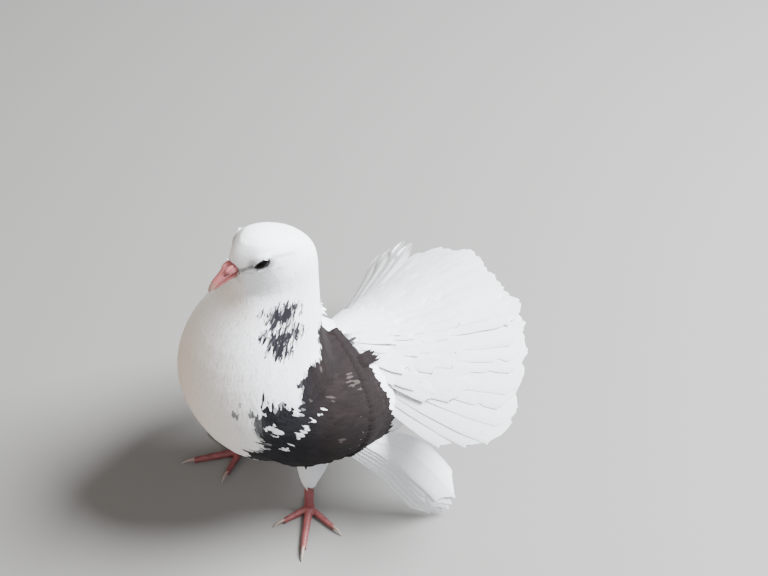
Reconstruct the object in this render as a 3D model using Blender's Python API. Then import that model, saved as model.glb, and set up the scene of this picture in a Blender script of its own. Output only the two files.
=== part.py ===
"""Fantail pigeon, standing with its tail spread and its wings let down, at life size.

Sizes are in millimetres here, and become metres as each mesh is made. Places are given as
forward, left and up from the ground between the feet. The bird looks along -Y, its left is +X.
"""

import math
import random
from collections import namedtuple

import bmesh
import bpy
import numpy as np
from mathutils import Matrix, Vector

MM = 0.001
GAP = 0.3
TAU = math.tau
SEED = 8

# Plumage of the trunk, as ribs from the rump to the crown: back and front points of each
# section in the plane of symmetry, half width, and how far the section sways to the left.
Rib = namedtuple("Rib", "back_forward back_up front_forward front_up half_width sway")
RIBS = [
    Rib(-57.5, 83.0, -59.5, 71.0, 11.0, 2.5),
    Rib(-52.5, 87.0, -54.5, 61.0, 18.0, 2.5),
    Rib(-46.0, 91.5, -44.5, 53.5, 26.5, 2.0),
    Rib(-40.0, 97.5, -30.0, 47.0, 35.0, 1.0),
    Rib(-34.5, 104.5, -11.0, 43.0, 41.5, 0.5),
    Rib(-30.5, 111.5, 10.0, 45.5, 44.5, 0.0),
    Rib(-28.0, 118.5, 28.0, 55.5, 45.5, -0.3),
    Rib(-27.0, 125.5, 39.0, 71.5, 44.0, -0.6),
    Rib(-27.5, 132.0, 43.0, 91.0, 40.0, -1.0),
    Rib(-29.3, 138.5, 39.5, 111.0, 34.0, -1.5),
    Rib(-31.0, 144.5, 29.5, 129.5, 27.0, -2.0),
    Rib(-32.5, 151.0, 17.0, 144.5, 20.0, -2.4),
    Rib(-33.0, 157.0, 9.5, 154.5, 16.5, -2.5),
    Rib(-32.0, 163.5, 11.0, 162.5, 15.0, -2.5),
    Rib(-28.5, 169.0, 12.5, 168.5, 14.0, -2.5),
    Rib(-24.0, 174.0, 12.0, 174.0, 13.0, -2.5),
    Rib(-16.5, 178.8, 9.0, 179.0, 11.0, -2.5),
    Rib(-9.0, 182.3, 5.0, 182.6, 7.3, -2.5),
]
CROWN = (-1.5, -2.5, 184.4)
NECK_BASE = 9.0
HEAD_BASE = 12.0
TRUNK_SIDES = 28
RINGS_PER_RIB = 2
SECTION_POWER = 2.2
FACE_TAPER = 0.45
FACE_FROM = 11.5
FACE_FULL = 13.5

# Head frame: between the eyes, bill pitched down.
HEAD_PLACE = (0.5, -2.5, 174.4)
HEAD_PITCH = math.radians(-19.5)
EYE_PLACE = (0.0, 8.9, 0.0)
EYE_RADII = (4.2, 3.6, 3.4)
EYE_LEAN = math.radians(16.0)
EYE_TURN = math.radians(17.0)
LID_RADII = (4.3, 3.3)
LID_LIFT = 2.2
LID_THICKNESS = 0.75
CERE_PLACE = (13.2, 1.7, 0.6)
CERE_RADII = (3.0, 1.3, 1.6)
NOSTRIL_PLACE = (15.6, 2.7, -0.5)
NOSTRIL_RADII = (1.6, 0.9, 0.45)
GAPE_PLACE = (7.0, 8.0, -4.2)
GAPE_RADII = (3.4, 1.6, 0.35)
BillStation = namedtuple("BillStation", "forward top bottom half_width")
UPPER_BILL = [
    BillStation(9.6, 1.0, -3.2, 3.7),
    BillStation(12.5, 1.2, -3.1, 3.6),
    BillStation(15.0, 0.7, -3.2, 3.0),
    BillStation(19.0, -0.3, -3.8, 2.2),
    BillStation(23.0, -1.5, -4.5, 1.7),
    BillStation(26.0, -3.2, -5.4, 1.15),
    BillStation(27.4, -4.8, -6.2, 0.5),
]
LOWER_BILL = [
    BillStation(8.8, -3.5, -6.3, 3.3),
    BillStation(12.0, -3.4, -6.0, 3.1),
    BillStation(17.0, -3.8, -5.9, 2.3),
    BillStation(22.0, -4.7, -6.3, 1.4),
    BillStation(25.0, -5.6, -6.7, 0.7),
]

# Tail fan: all shafts point away from one centre inside the rump.
FAN_CENTRE = (-26.5, 0.0, 81.0)
FAN_YAW = math.radians(11.5)
FAN_RISE = math.radians(9.3)
FAN_ROLL = math.radians(10.9)
FAN_HALF_SPREAD = math.radians(50.0)
FAN_DROOP = 0.263
FAN_REACH = 110.0
FAN_ROOT = 33.0
CORE_REACH = 53.0
CORE_OVER = 4.0
CORE_UNDER = 9.0
CORE_SKIN = 0.5
CORE_EDGE_FALL = 0.7
CORE_HALF_SPREAD = math.radians(48.5)
TAIL_FEATHERS = 18
TOP_FEATHER = 8
TAIL_EDGE_ANGLE = math.radians(45.0)
TAIL_HALF_WIDTH = 14.0
# The outermost feathers on the bird's right are parted from the rest: narrower, and longer.
OUTER_RIGHT_FEATHERS = 4
OUTER_RIGHT_REACH = 3.5
OUTER_RIGHT_WIDTH = 0.8
# Coverts over and under the roots of the fan: how many, how far out, half width, and lift.
UPPER_COVERTS = (7, 65.0, 11.0, 3.2)
UNDER_COVERTS = (4, 60.0, 13.0, -3.2)
TAIL_COVERT_ROOT = 3.0
ROOT_LIFT = 0.35
# Outline of a feather from quill to tip: share of its length, and of its full half width.
FEATHER = [(0.0, 0.22), (0.3, 0.68), (0.65, 1.0), (0.92, 0.9), (1.0, 0.5)]
TAIL_FEATHER = [(0.0, 0.22), (0.5, 0.9), (0.9, 0.95), (1.0, 0.5)]
COVERT = [(0.0, 0.55), (0.7, 1.0), (1.0, 0.45)]
VANE_THICKNESS = 0.55
SHAFT_RIDGE = 0.25
TIP_THICKNESS = 0.3
STACK = 1.1
CLEARANCE = 5.0
CLEAR_ANGLE = math.radians(3.0)
COVERT_STACK = 0.9

# Outer face of the left wing's shield, front to rear, each with its top, middle and low point.
SHIELD = [
    ((-20.0, 15.0, 117.0), (8.0, 40.0, 103.0), (31.0, 29.0, 77.0)),
    ((-25.8, 12.4, 115.0), (-8.0, 50.0, 95.0), (12.0, 42.0, 61.0)),
    ((-32.9, 9.2, 110.9), (-28.0, 50.5, 88.5), (-14.0, 49.0, 57.0)),
    ((-40.5, 6.0, 104.5), (-46.5, 44.5, 84.5), (-42.0, 51.5, 62.0)),
]
# Flight feathers of the hand, from their roots under the shield to their tips by the ground.
HAND = [
    ((-32.0, 49.0, 74.0), (-26.0, 49.0, 67.0), (-20.0, 48.5, 60.0)),
    ((-54.0, 55.0, 55.0), (-45.0, 55.5, 48.0), (-35.0, 53.5, 41.0)),
    ((-68.0, 62.0, 38.0), (-57.0, 66.0, 28.0), (-45.5, 62.5, 20.0)),
    ((-76.0, 73.0, 14.0), (-67.5, 74.5, 6.0), (-55.5, 69.5, 0.0)),
]
# The wing's own thickness at its edge, and what is added at its middle.
WING_EDGE = 2.0
WING_SWELL = 6.0
# Feathers of each row: how many, half width, where their shafts lie across, and from where to where along.
HAND_FEATHERS = 6
HAND_HALF_WIDTH = 7.0
HAND_ACROSS = (0.07, 0.93)
ARM_FEATHERS = 6
ARM_HALF_WIDTH = 6.5
ARM_ACROSS = (0.34, 0.94)
ARM_ALONG = (0.7, 1.1)
ARM_GROWTH = 0.07
ARM_LIFT = -1.6
SHIELD_MARGIN = 0.02
COVERT_WIDTH = 0.7
COVERT_SINK = -1.5
COVERT_RISE = 3.0
# Rows of coverts down the shield, front to rear: how many, where each starts and ends along it.
COVERT_ROWS = [(5, -0.02, 0.42), (6, 0.22, 0.74), (6, 0.5, 1.03)]

# Legs and feet: toes are named with their heading from straight ahead, left positive.
Foot = namedtuple("Foot", "side hand forward left heading")
FEET = [
    Foot("left", 1, -3.5, 30.0, math.radians(51.0)),
    Foot("right", -1, 8.2, -23.3, math.radians(-21.0)),
]
Toe = namedtuple("Toe", "name heading length radius claw")
TOES = [
    Toe("inner", math.radians(-53.0), 16.0, 2.7, 6.0),
    Toe("middle", math.radians(0.0), 26.0, 3.0, 7.0),
    Toe("outer", math.radians(52.0), 18.5, 2.6, 6.0),
    Toe("hind", math.radians(180.0), 12.0, 2.6, 6.0),
]
TOE_SCUTE = 3.1
TOE_SIDES = 8
SHANK_RADIUS = 2.7
SHANK_SCUTE = 2.9
# Feathered thigh: height, radius, and how far its middle lies behind and inside the foot.
THIGH = [
    (24.0, 4.2, 1.0, 0.0),
    (28.0, 5.6, 1.5, 0.0),
    (34.0, 7.6, 3.0, 0.5),
    (42.0, 10.0, 5.0, 1.5),
    (50.0, 11.5, 7.0, 3.5),
    (60.0, 12.0, 9.0, 5.5),
]


def at(forward, left, up):
    return Vector((left, -forward, up))


def smooth_between(rows, place):
    """Catmull-Rom value among equally spaced rows of numbers, straight on past either end."""
    rows = np.asarray(rows, float)
    last = len(rows) - 1
    if place < 0:
        return rows[0] + (rows[1] - rows[0]) * place
    if place > last:
        return rows[last] + (rows[last] - rows[last - 1]) * (place - last)
    start = min(int(place), last - 1)
    t = place - start
    before = rows[start - 1] if start else 2 * rows[0] - rows[1]
    after = rows[start + 2] if start + 2 <= last else 2 * rows[last] - rows[last - 1]
    one, two = rows[start], rows[start + 1]
    bend = 2 * before - 5 * one + 4 * two - after
    turn = 3 * one - before - 3 * two + after
    return 0.5 * (2 * one + (two - before) * t + bend * t**2 + turn * t**3)


def power(value, exponent):
    return math.copysign(abs(value) ** exponent, value)


def new_material(name, colour, roughness, metallic=0.0):
    material = bpy.data.materials.new(name)
    material.use_nodes = True
    shader = material.node_tree.nodes["Principled BSDF"]
    shader.inputs["Base Color"].default_value = (*colour, 1.0)
    shader.inputs["Roughness"].default_value = roughness
    shader.inputs["Metallic"].default_value = metallic
    return material


def new_object(name, points, faces, material=None):
    mesh = bpy.data.meshes.new(name)
    mesh.from_pydata([Vector(point) * MM for point in points], [], faces)
    piece = bpy.data.objects.new(name, mesh)
    bpy.context.collection.objects.link(piece)
    tidy_faces(piece)
    if material:
        mesh.materials.append(material)
    return piece


def tidy_faces(piece):
    """Triangles only, all facing out."""
    work = bmesh.new()
    work.from_mesh(piece.data)
    bmesh.ops.triangulate(work, faces=work.faces[:])
    bmesh.ops.recalc_face_normals(work, faces=work.faces[:])
    if work.calc_volume(signed=True) < 0:
        bmesh.ops.reverse_faces(work, faces=work.faces[:])
    work.to_mesh(piece.data)
    work.free()


def loft(rings):
    """Points and faces of a closed tube through rings of points, its ends closed by fans."""
    sides = len(rings[0])
    points = [point for ring in rings for point in ring]
    faces = []
    for row in range(len(rings) - 1):
        for side in range(sides):
            a = row * sides + side
            b = row * sides + (side + 1) % sides
            faces.append((a, b, b + sides, a + sides))
    for ring, start in ((rings[0], 0), (rings[-1], (len(rings) - 1) * sides)):
        middle = len(points)
        points.append(sum(ring, Vector()) / sides)
        faces += [(middle, start + side, start + (side + 1) % sides) for side in range(sides)]
    return points, faces


def plate(surface, alongs, acrosses, over, under):
    """A closed sheet along surface(along, across, lift), from lift over() to lift under()."""
    top = [[surface(a, c, over(a, c)) for c in acrosses] for a in alongs]
    low = [[surface(a, c, under(a, c)) for c in acrosses] for a in alongs]
    wide = len(acrosses)
    points = [point for rows in (top, low) for row in rows for point in row]
    below = len(alongs) * wide
    faces = []
    for row in range(len(alongs) - 1):
        for col in range(wide - 1):
            a = row * wide + col
            b, c, d = a + 1, a + wide + 1, a + wide
            faces += [(a, b, c), (a, c, d)]
            faces += [(below + c, below + b, below + a), (below + d, below + c, below + a)]
    rim = [col for col in range(wide)]
    rim += [row * wide + wide - 1 for row in range(1, len(alongs))]
    rim += [(len(alongs) - 1) * wide + col for col in range(wide - 2, -1, -1)]
    rim += [row * wide for row in range(len(alongs) - 2, 0, -1)]
    for one, two in zip(rim, rim[1:] + rim[:1]):
        faces += [(one, below + one, below + two), (one, below + two, two)]
    return points, faces


def applied(piece):
    graph = bpy.context.evaluated_depsgraph_get()
    mesh = bpy.data.meshes.new_from_object(piece.evaluated_get(graph))
    piece.modifiers.clear()
    piece.data = mesh
    keep_largest(piece)


def keep_largest(piece):
    """Leaves only the largest closed surface of a mesh."""
    work = bmesh.new()
    work.from_mesh(piece.data)
    left = set(work.faces)
    shells = []
    while left:
        shell, edge_of_shell = set(), [left.pop()]
        while edge_of_shell:
            face = edge_of_shell.pop()
            shell.add(face)
            near = {other for edge in face.edges for other in edge.link_faces} & left
            left -= near
            edge_of_shell.extend(near)
        shells.append(shell)
    shells.sort(key=lambda shell: sum(face.calc_area() for face in shell))
    dropped = [face for shell in shells[:-1] for face in shell]
    bmesh.ops.delete(work, geom=dropped, context="FACES")
    bmesh.ops.triangulate(work, faces=work.faces[:])
    work.to_mesh(piece.data)
    work.free()


def fuse(piece, others, solver="MANIFOLD"):
    """Joins closed meshes to a piece by one Boolean union, and removes them."""
    group = bpy.data.collections.new(piece.name + "_parts")
    bpy.context.scene.collection.children.link(group)
    for other in others:
        bpy.context.collection.objects.unlink(other)
        group.objects.link(other)
    union = piece.modifiers.new("Union", "BOOLEAN")
    union.operation = "UNION"
    union.operand_type = "COLLECTION"
    union.collection = group
    union.solver = solver
    applied(piece)
    for other in others:
        bpy.data.objects.remove(other)
    bpy.data.collections.remove(group)


def cut(piece, cutters, solver="MANIFOLD"):
    """Takes closed meshes out of a piece, and removes them."""
    for cutter in cutters:
        difference = piece.modifiers.new("Cut", "BOOLEAN")
        difference.operation = "DIFFERENCE"
        difference.object = cutter
        difference.solver = solver
    applied(piece)
    for cutter in cutters:
        bpy.data.objects.remove(cutter)


def trunk_ring(place, grow=0.0, shift=0.0):
    """One section of the plumage of rump, breast, neck or head, shifted along its own axis."""
    rib = Rib(*smooth_between(RIBS, place))
    back = at(rib.back_forward, rib.sway, rib.back_up)
    front = at(rib.front_forward, rib.sway, rib.front_up)
    centre = (back + front) / 2
    aside = Vector((1, 0, 0))
    axis = aside.cross((back - front).normalized())
    half = (back - front) / 2
    half *= 1 + grow / half.length
    taper = FACE_TAPER * min(1.0, max(0.0, (place - FACE_FROM) / (FACE_FULL - FACE_FROM)))
    ring = []
    for side in range(TRUNK_SIDES):
        angle = TAU * side / TRUNK_SIDES
        deep = power(math.cos(angle), 2 / SECTION_POWER)
        wide = power(math.sin(angle), 2 / SECTION_POWER)
        wide *= 1 - taper * max(0.0, -deep) ** 2
        ring.append(centre + half * deep + aside * wide * (rib.half_width + grow) + axis * shift)
    return ring


def trunk_rings(first, last, grow=0.0, first_shift=0.0, last_shift=0.0):
    count = round((last - first) * RINGS_PER_RIB)
    places = [first + (last - first) * step / count for step in range(count + 1)]
    rings = [trunk_ring(place, grow) for place in places]
    rings[0] = trunk_ring(first, grow, first_shift)
    rings[-1] = trunk_ring(last, grow, last_shift)
    return rings


def torso_cutter():
    """The torso's shape with room round it, to cut its neighbours clear."""
    rings = trunk_rings(0, NECK_BASE, GAP * 1.4, -GAP, 0)
    return new_object("cutter", *loft(rings))


def head_frame(forward, left, up):
    """A place in the head's own frame, as a place on the bird."""
    turned_forward = forward * math.cos(HEAD_PITCH) - up * math.sin(HEAD_PITCH)
    turned_up = forward * math.sin(HEAD_PITCH) + up * math.cos(HEAD_PITCH)
    return at(HEAD_PLACE[0] + turned_forward, HEAD_PLACE[1] + left, HEAD_PLACE[2] + turned_up)


def ball_rings(radii, grow=0.0, rings=8, sides=14):
    """Sections of an ellipsoid about the head's left axis, as forward, left and up."""
    for row in range(rings + 1):
        polar = math.pi * (0.04 + 0.92 * row / rings)
        yield [
            (
                (radii[0] + grow) * math.sin(polar) * math.cos(TAU * side / sides),
                (radii[1] + grow) * math.cos(polar),
                (radii[2] + grow) * math.sin(polar) * math.sin(TAU * side / sides),
            )
            for side in range(sides)
        ]


def head_ball(place, radii, side):
    """A closed ellipsoid in the head's frame, on its left side or, for side -1, its right."""
    rings = [
        [head_frame(place[0] + f, side * (place[1] + left), place[2] + up) for f, left, up in ring]
        for ring in ball_rings(radii, 0.0, 4, 8)
    ]
    return new_object("ball", *loft(rings))


def eye_frame(side, point):
    """A place by the eye: along its slit, out of the head, and across the slit."""
    forward, left, up = point
    along = forward * math.cos(EYE_LEAN) + up * math.sin(EYE_LEAN)
    rise = up * math.cos(EYE_LEAN) - forward * math.sin(EYE_LEAN)
    ahead = along * math.cos(EYE_TURN) + left * math.sin(EYE_TURN)
    out = left * math.cos(EYE_TURN) - along * math.sin(EYE_TURN)
    return head_frame(EYE_PLACE[0] + ahead, side * (EYE_PLACE[1] + out), EYE_PLACE[2] + rise)


def eyeball(name, side, grow=0.0, material=None):
    rings = [[eye_frame(side, point) for point in ring] for ring in ball_rings(EYE_RADII, grow)]
    return new_object(name, *loft(rings), material)


def eyelids(side):
    """The rim of both lids, an almond ring round the eye."""
    around, sides = 18, 6
    points, faces = [], []
    for step in range(around):
        angle = TAU * step / around
        almond = 1.0 + 0.12 * math.cos(2 * angle)
        for k in range(sides):
            turn = TAU * k / sides
            swell = 1 + LID_THICKNESS * math.cos(turn) / LID_RADII[1]
            forward = LID_RADII[0] * almond * math.cos(angle) * swell
            up = LID_RADII[1] * math.sin(angle) * swell
            left = LID_LIFT + LID_THICKNESS * math.sin(turn)
            points.append(eye_frame(side, (forward, left, up)))
    for step in range(around):
        for k in range(sides):
            one = step * sides + k
            two = step * sides + (k + 1) % sides
            three = ((step + 1) % around) * sides + (k + 1) % sides
            four = ((step + 1) % around) * sides + k
            faces.append((one, two, three, four))
    return new_object("lids", points, faces)


def bill_rings(stations, grow=0.0, back=0.0):
    rings = []
    sides = 12
    for index, station in enumerate(stations):
        high, low = station.top + grow, station.bottom - grow
        wide = station.half_width + grow
        forward = station.forward - (back if index == 0 else 0)
        middle, half = (high + low) / 2, (high - low) / 2
        ring = []
        for side in range(sides):
            angle = TAU * side / sides
            left = wide * power(math.sin(angle), 0.8)
            up = middle + half * power(math.cos(angle), 0.8)
            ring.append(head_frame(forward, left, up))
        rings.append(ring)
    return rings


def make_head(material):
    rings = trunk_rings(HEAD_BASE, len(RIBS) - 1, 0, GAP / 2, 0)
    crown = at(*CROWN)
    rings.append([crown.lerp(point, 0.35) for point in rings[-1]])
    head = new_object("head", *loft(rings), material)
    fuse(head, [eyelids(side) for side in (1, -1)])
    cutters = [eyeball("cutter", side, GAP) for side in (1, -1)]
    cutters += [new_object("cutter", *loft(bill_rings(bill, GAP, GAP))) for bill in (UPPER_BILL, LOWER_BILL)]
    cutters += [head_ball(GAPE_PLACE, GAPE_RADII, side) for side in (1, -1)]
    clear = [radius + 1.3 * GAP for radius in CERE_RADII]
    cutters += [head_ball(CERE_PLACE, clear, side) for side in (1, -1)]
    cut(head, cutters)
    return head


def make_bill(material):
    upper = new_object("bill_upper", *loft(bill_rings(UPPER_BILL)), material)
    fuse(upper, [head_ball(CERE_PLACE, CERE_RADII, side) for side in (1, -1)])
    cut(upper, [head_ball(NOSTRIL_PLACE, NOSTRIL_RADII, side) for side in (1, -1)])
    new_object("bill_lower", *loft(bill_rings(LOWER_BILL)), material)


def make_trunk(material):
    torso = trunk_rings(0, NECK_BASE, 0, 0, -GAP / 2)
    new_object("torso", *loft(torso), material)
    neck = trunk_rings(NECK_BASE, HEAD_BASE, 0, GAP / 2, -GAP / 2)
    new_object("neck", *loft(neck), material)


def fan(along, across, lift):
    """A place on the tail fan: distance from its centre, angle to the left, and lift off it."""
    share = across / FAN_HALF_SPREAD
    away, left = along * math.cos(across), along * math.sin(across)
    up = lift - FAN_DROOP * share**2 * along
    left, up = (
        left * math.cos(FAN_ROLL) - up * math.sin(FAN_ROLL),
        left * math.sin(FAN_ROLL) + up * math.cos(FAN_ROLL),
    )
    away, up = (
        away * math.cos(FAN_RISE) - up * math.sin(FAN_RISE),
        away * math.sin(FAN_RISE) + up * math.cos(FAN_RISE),
    )
    forward = -away * math.cos(FAN_YAW) + left * math.sin(FAN_YAW)
    left = away * math.sin(FAN_YAW) + left * math.cos(FAN_YAW)
    return at(FAN_CENTRE[0] + forward, FAN_CENTRE[1] + left, FAN_CENTRE[2] + up)


def spaced(first, last, steps):
    return [first + (last - first) * step / steps for step in range(steps + 1)]


def blade(surface, stations, shares=(-1, 0, 1)):
    """A feather's closed vane on a surface: stations of along, across, half width, lift, tilt.

    The tilt is how much higher the edge at greater across lies than the shaft, for each unit
    of across. A pair of tilts lifts both edges. The shares are the places across that it has.
    """
    step = 1e-3
    points = []
    for index, (along, across, half_width, lift, tilt) in enumerate(stations):
        spread = (surface(along, across + step, 0) - surface(along, across - step, 0)).length / (2 * step)
        thickness = TIP_THICKNESS if index == len(stations) - 1 else VANE_THICKNESS
        for share in shares:
            offset = share * half_width / spread
            edge = lift + (abs(offset) * tilt[0] if isinstance(tilt, tuple) else offset * tilt)
            ridge = SHAFT_RIDGE if share == 0 and index < len(stations) - 1 else 0.0
            points.append(surface(along, across + offset, edge + thickness / 2 + ridge))
            points.append(surface(along, across + offset, edge - thickness / 2))
    wide = 2 * len(shares)
    faces = []
    for near in range(0, wide * (len(stations) - 1), wide):
        far = near + wide
        for col in range(0, wide - 2, 2):
            a, b, c, d = near + col, near + col + 2, far + col + 2, far + col
            faces += [(a, b, c), (a, c, d), (a + 1, c + 1, b + 1), (a + 1, d + 1, c + 1)]
        for a, b in ((near, far), (near + wide - 2, far + wide - 2)):
            faces += [(a, b, b + 1), (a, b + 1, a + 1)]
    for first in (0, wide * (len(stations) - 1)):
        for a in range(first, first + wide - 2, 2):
            faces.append((a, a + 2, a + 3, a + 1))
    return points, faces


def root_share(along):
    """How much of the thickness at the tail's root is left at a distance along it."""
    return max(0.0, 1 - (along - FAN_ROOT) / (CORE_REACH - FAN_ROOT)) ** 1.3


def tail_cutter():
    """The space that the tail and its coverts take up, grown by more than the gap."""
    return new_object("cutter", *plate(
        fan,
        [FAN_ROOT, CORE_REACH, FAN_REACH + CLEARANCE],
        spaced(-FAN_HALF_SPREAD - CLEAR_ANGLE, FAN_HALF_SPREAD + CLEAR_ANGLE, 8),
        lambda along, across: CLEARANCE,
        lambda along, across: -CLEARANCE - CORE_UNDER * root_share(along),
    ))


def make_tail(material):
    random.seed(SEED)
    alongs = spaced(FAN_ROOT, CORE_REACH, 3)
    acrosses = spaced(-CORE_HALF_SPREAD, CORE_HALF_SPREAD, 16)

    def over(along, across):
        edge = 1 - CORE_EDGE_FALL * (across / FAN_HALF_SPREAD) ** 2
        return CORE_SKIN + CORE_OVER * root_share(along) * edge

    def under(along, across):
        return -CORE_SKIN - CORE_UNDER * root_share(along)

    tail = new_object("tail", *plate(fan, alongs, acrosses, over, under), material)
    pitch = 2 * TAIL_EDGE_ANGLE / (TAIL_FEATHERS - 1)
    feathers = []
    for index in range(TAIL_FEATHERS):
        across = -TAIL_EDGE_ANGLE + pitch * (index + random.uniform(-0.06, 0.06))
        outer = index < OUTER_RIGHT_FEATHERS
        reach = FAN_REACH * random.uniform(0.96, 1.02) + (OUTER_RIGHT_REACH if outer else 0.0)
        root = FAN_ROOT + random.uniform(2.0, 5.0)
        half_width = TAIL_HALF_WIDTH * random.uniform(0.92, 1.06) * (OUTER_RIGHT_WIDTH if outer else 1.0)
        tilt = STACK / pitch
        if index == TOP_FEATHER:
            tilt = (tilt, tilt)
        elif index < TOP_FEATHER:
            tilt = -tilt
        stations = [
            (root + (reach - root) * share, across, half_width * width, 0.0, tilt)
            for share, width in TAIL_FEATHER
        ]
        feathers.append(new_object("feather", *blade(fan, stations)))
    for count, reach, half_width, lift in (UPPER_COVERTS, UNDER_COVERTS):
        gap = 2 * TAIL_EDGE_ANGLE / count
        for index in range(count):
            across = -TAIL_EDGE_ANGLE + gap * (index + random.uniform(0.44, 0.56))
            middle = (count - 1) / 2
            lean = math.copysign(COVERT_STACK / gap, (index - middle) * lift)
            tilt = (math.copysign(COVERT_STACK / gap, lift),) * 2 if index == middle else lean
            far = reach * random.uniform(0.95, 1.04)
            root = FAN_ROOT + TAIL_COVERT_ROOT
            stations = [
                (root + (far - root) * share, across, half_width * width,
                 lift * (ROOT_LIFT + (1 - ROOT_LIFT) * share), tilt)
                for share, width in COVERT
            ]
            feathers.append(new_object("feather", *blade(fan, stations, (-1, 1))))
    fuse(tail, feathers)
    cut(tail, [torso_cutter()])


def patch_point(columns, along, across):
    """A place on a patch: along runs 0 to 1 through its columns, across 0 to 1 down each."""
    top, middle, low = smooth_between(columns, along * (len(columns) - 1))
    t = across
    weights = (2 * (t - 0.5) * (t - 1), -4 * t * (t - 1), 2 * t * (t - 0.5))
    return top * weights[0] + middle * weights[1] + low * weights[2]


def patch(columns, side, along, across, lift):
    """A place lifted off a patch of the left wing, or of the right one for side -1."""
    step = 0.01
    here = patch_point(columns, along, across)
    run = patch_point(columns, along + step, across) - here
    down = patch_point(columns, along, across + step) - here
    outward = np.cross(down, run)
    outward /= np.linalg.norm(outward)
    forward, left, up = here + outward * lift
    return at(forward, side * left, up)


def floor_cutter():
    """All that lies below the floor, so that what touches it ends in a flat."""
    low, high = Vector((-200, -200, -60)), Vector((200, 200, 0))
    corners = [(x, y, z) for x in (low.x, high.x) for y in (low.y, high.y) for z in (low.z, high.z)]
    faces = [(0, 1, 3, 2), (4, 6, 7, 5), (0, 4, 5, 1), (2, 3, 7, 6), (0, 2, 6, 4), (1, 5, 7, 3)]
    return new_object("cutter", corners, faces)


def make_wing(name, side, material):
    random.seed(SEED + 1)

    def shield(along, across, lift):
        return patch(SHIELD, side, along, across, lift)

    def hand(along, across, lift):
        return patch(HAND, side, along, across, lift)

    def thickness(along, across):
        inside = (1 - abs(2 * across - 1) ** 3) * (1 - abs(2 * along - 1) ** 3)
        return -WING_EDGE - WING_SWELL * inside

    acrosses = spaced(SHIELD_MARGIN, 1 - SHIELD_MARGIN, 7)
    wing = new_object(name, *plate(shield, spaced(0, 1, 5), acrosses, lambda a, c: 0.0, thickness), material)
    feathers = []
    for count, start, end in COVERT_ROWS:
        pitch = (1 - 2 * SHIELD_MARGIN) / count
        for index in range(count):
            across = SHIELD_MARGIN + pitch * (index + 0.5) + random.uniform(-0.008, 0.008)
            far = end + random.uniform(-0.03, 0.02)
            width = COVERT_WIDTH * pitch * across_size(SHIELD, (start + end) / 2, across)
            stations = [
                (start + (far - start) * share, across, width * wide,
                 COVERT_SINK + COVERT_RISE * share**0.5, COVERT_STACK / pitch)
                for share, wide in COVERT
            ]
            feathers.append(new_object("feather", *blade(shield, stations, (-1, 1))))
    pitch = (ARM_ACROSS[1] - ARM_ACROSS[0]) / (ARM_FEATHERS - 1)
    for index in range(ARM_FEATHERS):
        across = ARM_ACROSS[0] + pitch * index
        far = ARM_ALONG[1] + ARM_GROWTH * index / ARM_FEATHERS + random.uniform(-0.01, 0.01)
        stations = [
            (ARM_ALONG[0] + (far - ARM_ALONG[0]) * share, across, ARM_HALF_WIDTH * wide,
             ARM_LIFT, COVERT_STACK / pitch)
            for share, wide in COVERT
        ]
        feathers.append(new_object("feather", *blade(shield, stations, (-1, 1))))
    pitch = (HAND_ACROSS[1] - HAND_ACROSS[0]) / (HAND_FEATHERS - 1)
    for index in range(HAND_FEATHERS):
        across = HAND_ACROSS[0] + pitch * index
        far = 1.0 - random.uniform(0.0, 0.03)
        stations = [
            (far * share, across, HAND_HALF_WIDTH * wide, 0.0, STACK / pitch)
            for share, wide in FEATHER
        ]
        feathers.append(new_object("feather", *blade(hand, stations)))
    fuse(wing, feathers)
    cut(wing, [torso_cutter(), tail_cutter(), floor_cutter()])


def across_size(columns, along, across):
    """Millimetres for each unit of across at a place on a patch."""
    step = 0.01
    run = patch_point(columns, along, across + step) - patch_point(columns, along, across)
    return np.linalg.norm(run) / step


def scuted(length, base_radius, tip_radius, scute):
    """Distance and radius of each ring of a toe or shank whose scutes overlap like tiles."""
    count = max(3, round(length / scute))
    for index in range(count):
        near, far = index / count, (index + 0.9) / count
        for share, raised in ((near, 0.16), (far, -0.1)):
            yield share * length, base_radius + (tip_radius - base_radius) * share + raised
    yield length, tip_radius


def toe_rings(foot, toe):
    heading = foot.heading + foot.hand * toe.heading
    forward, left = math.cos(heading), math.sin(heading)
    rings = []
    for distance, radius in scuted(toe.length, toe.radius, toe.radius * 0.72, TOE_SCUTE):
        middle = radius * 0.82
        ring = []
        for side in range(TOE_SIDES):
            angle = TAU * (side + 0.5) / TOE_SIDES
            aside = radius * math.sin(angle)
            up = max(0.0, middle + radius * math.cos(angle))
            ring.append(at(foot.forward + forward * distance - left * aside,
                           foot.left + left * distance + forward * aside, up))
        rings.append(ring)
    return rings


def claw_rings(foot, toe):
    heading = foot.heading + foot.hand * toe.heading
    forward, left = math.cos(heading), math.sin(heading)
    start = toe.length + GAP
    radius = toe.radius * 0.5
    rings = []
    for step in range(6):
        share = step / 5
        size = radius * (1 - share) ** 0.7 + 0.12
        distance = start + toe.claw * share
        up = (radius + 0.9) * (1 - share**2) + 0.55 * share + 0.25 * math.sin(math.pi * share)
        ring = []
        for side in range(6):
            angle = TAU * side / 6
            aside = 0.75 * size * math.sin(angle)
            rise = up + size * math.cos(angle)
            ring.append(at(foot.forward + forward * distance - left * aside,
                           foot.left + left * distance + forward * aside, rise))
        rings.append(ring)
    return rings


def upright_ring(forward, left, up, radius, sides):
    return [
        at(forward + radius * math.cos(TAU * side / sides), left + radius * math.sin(TAU * side / sides), up)
        for side in range(sides)
    ]


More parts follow.
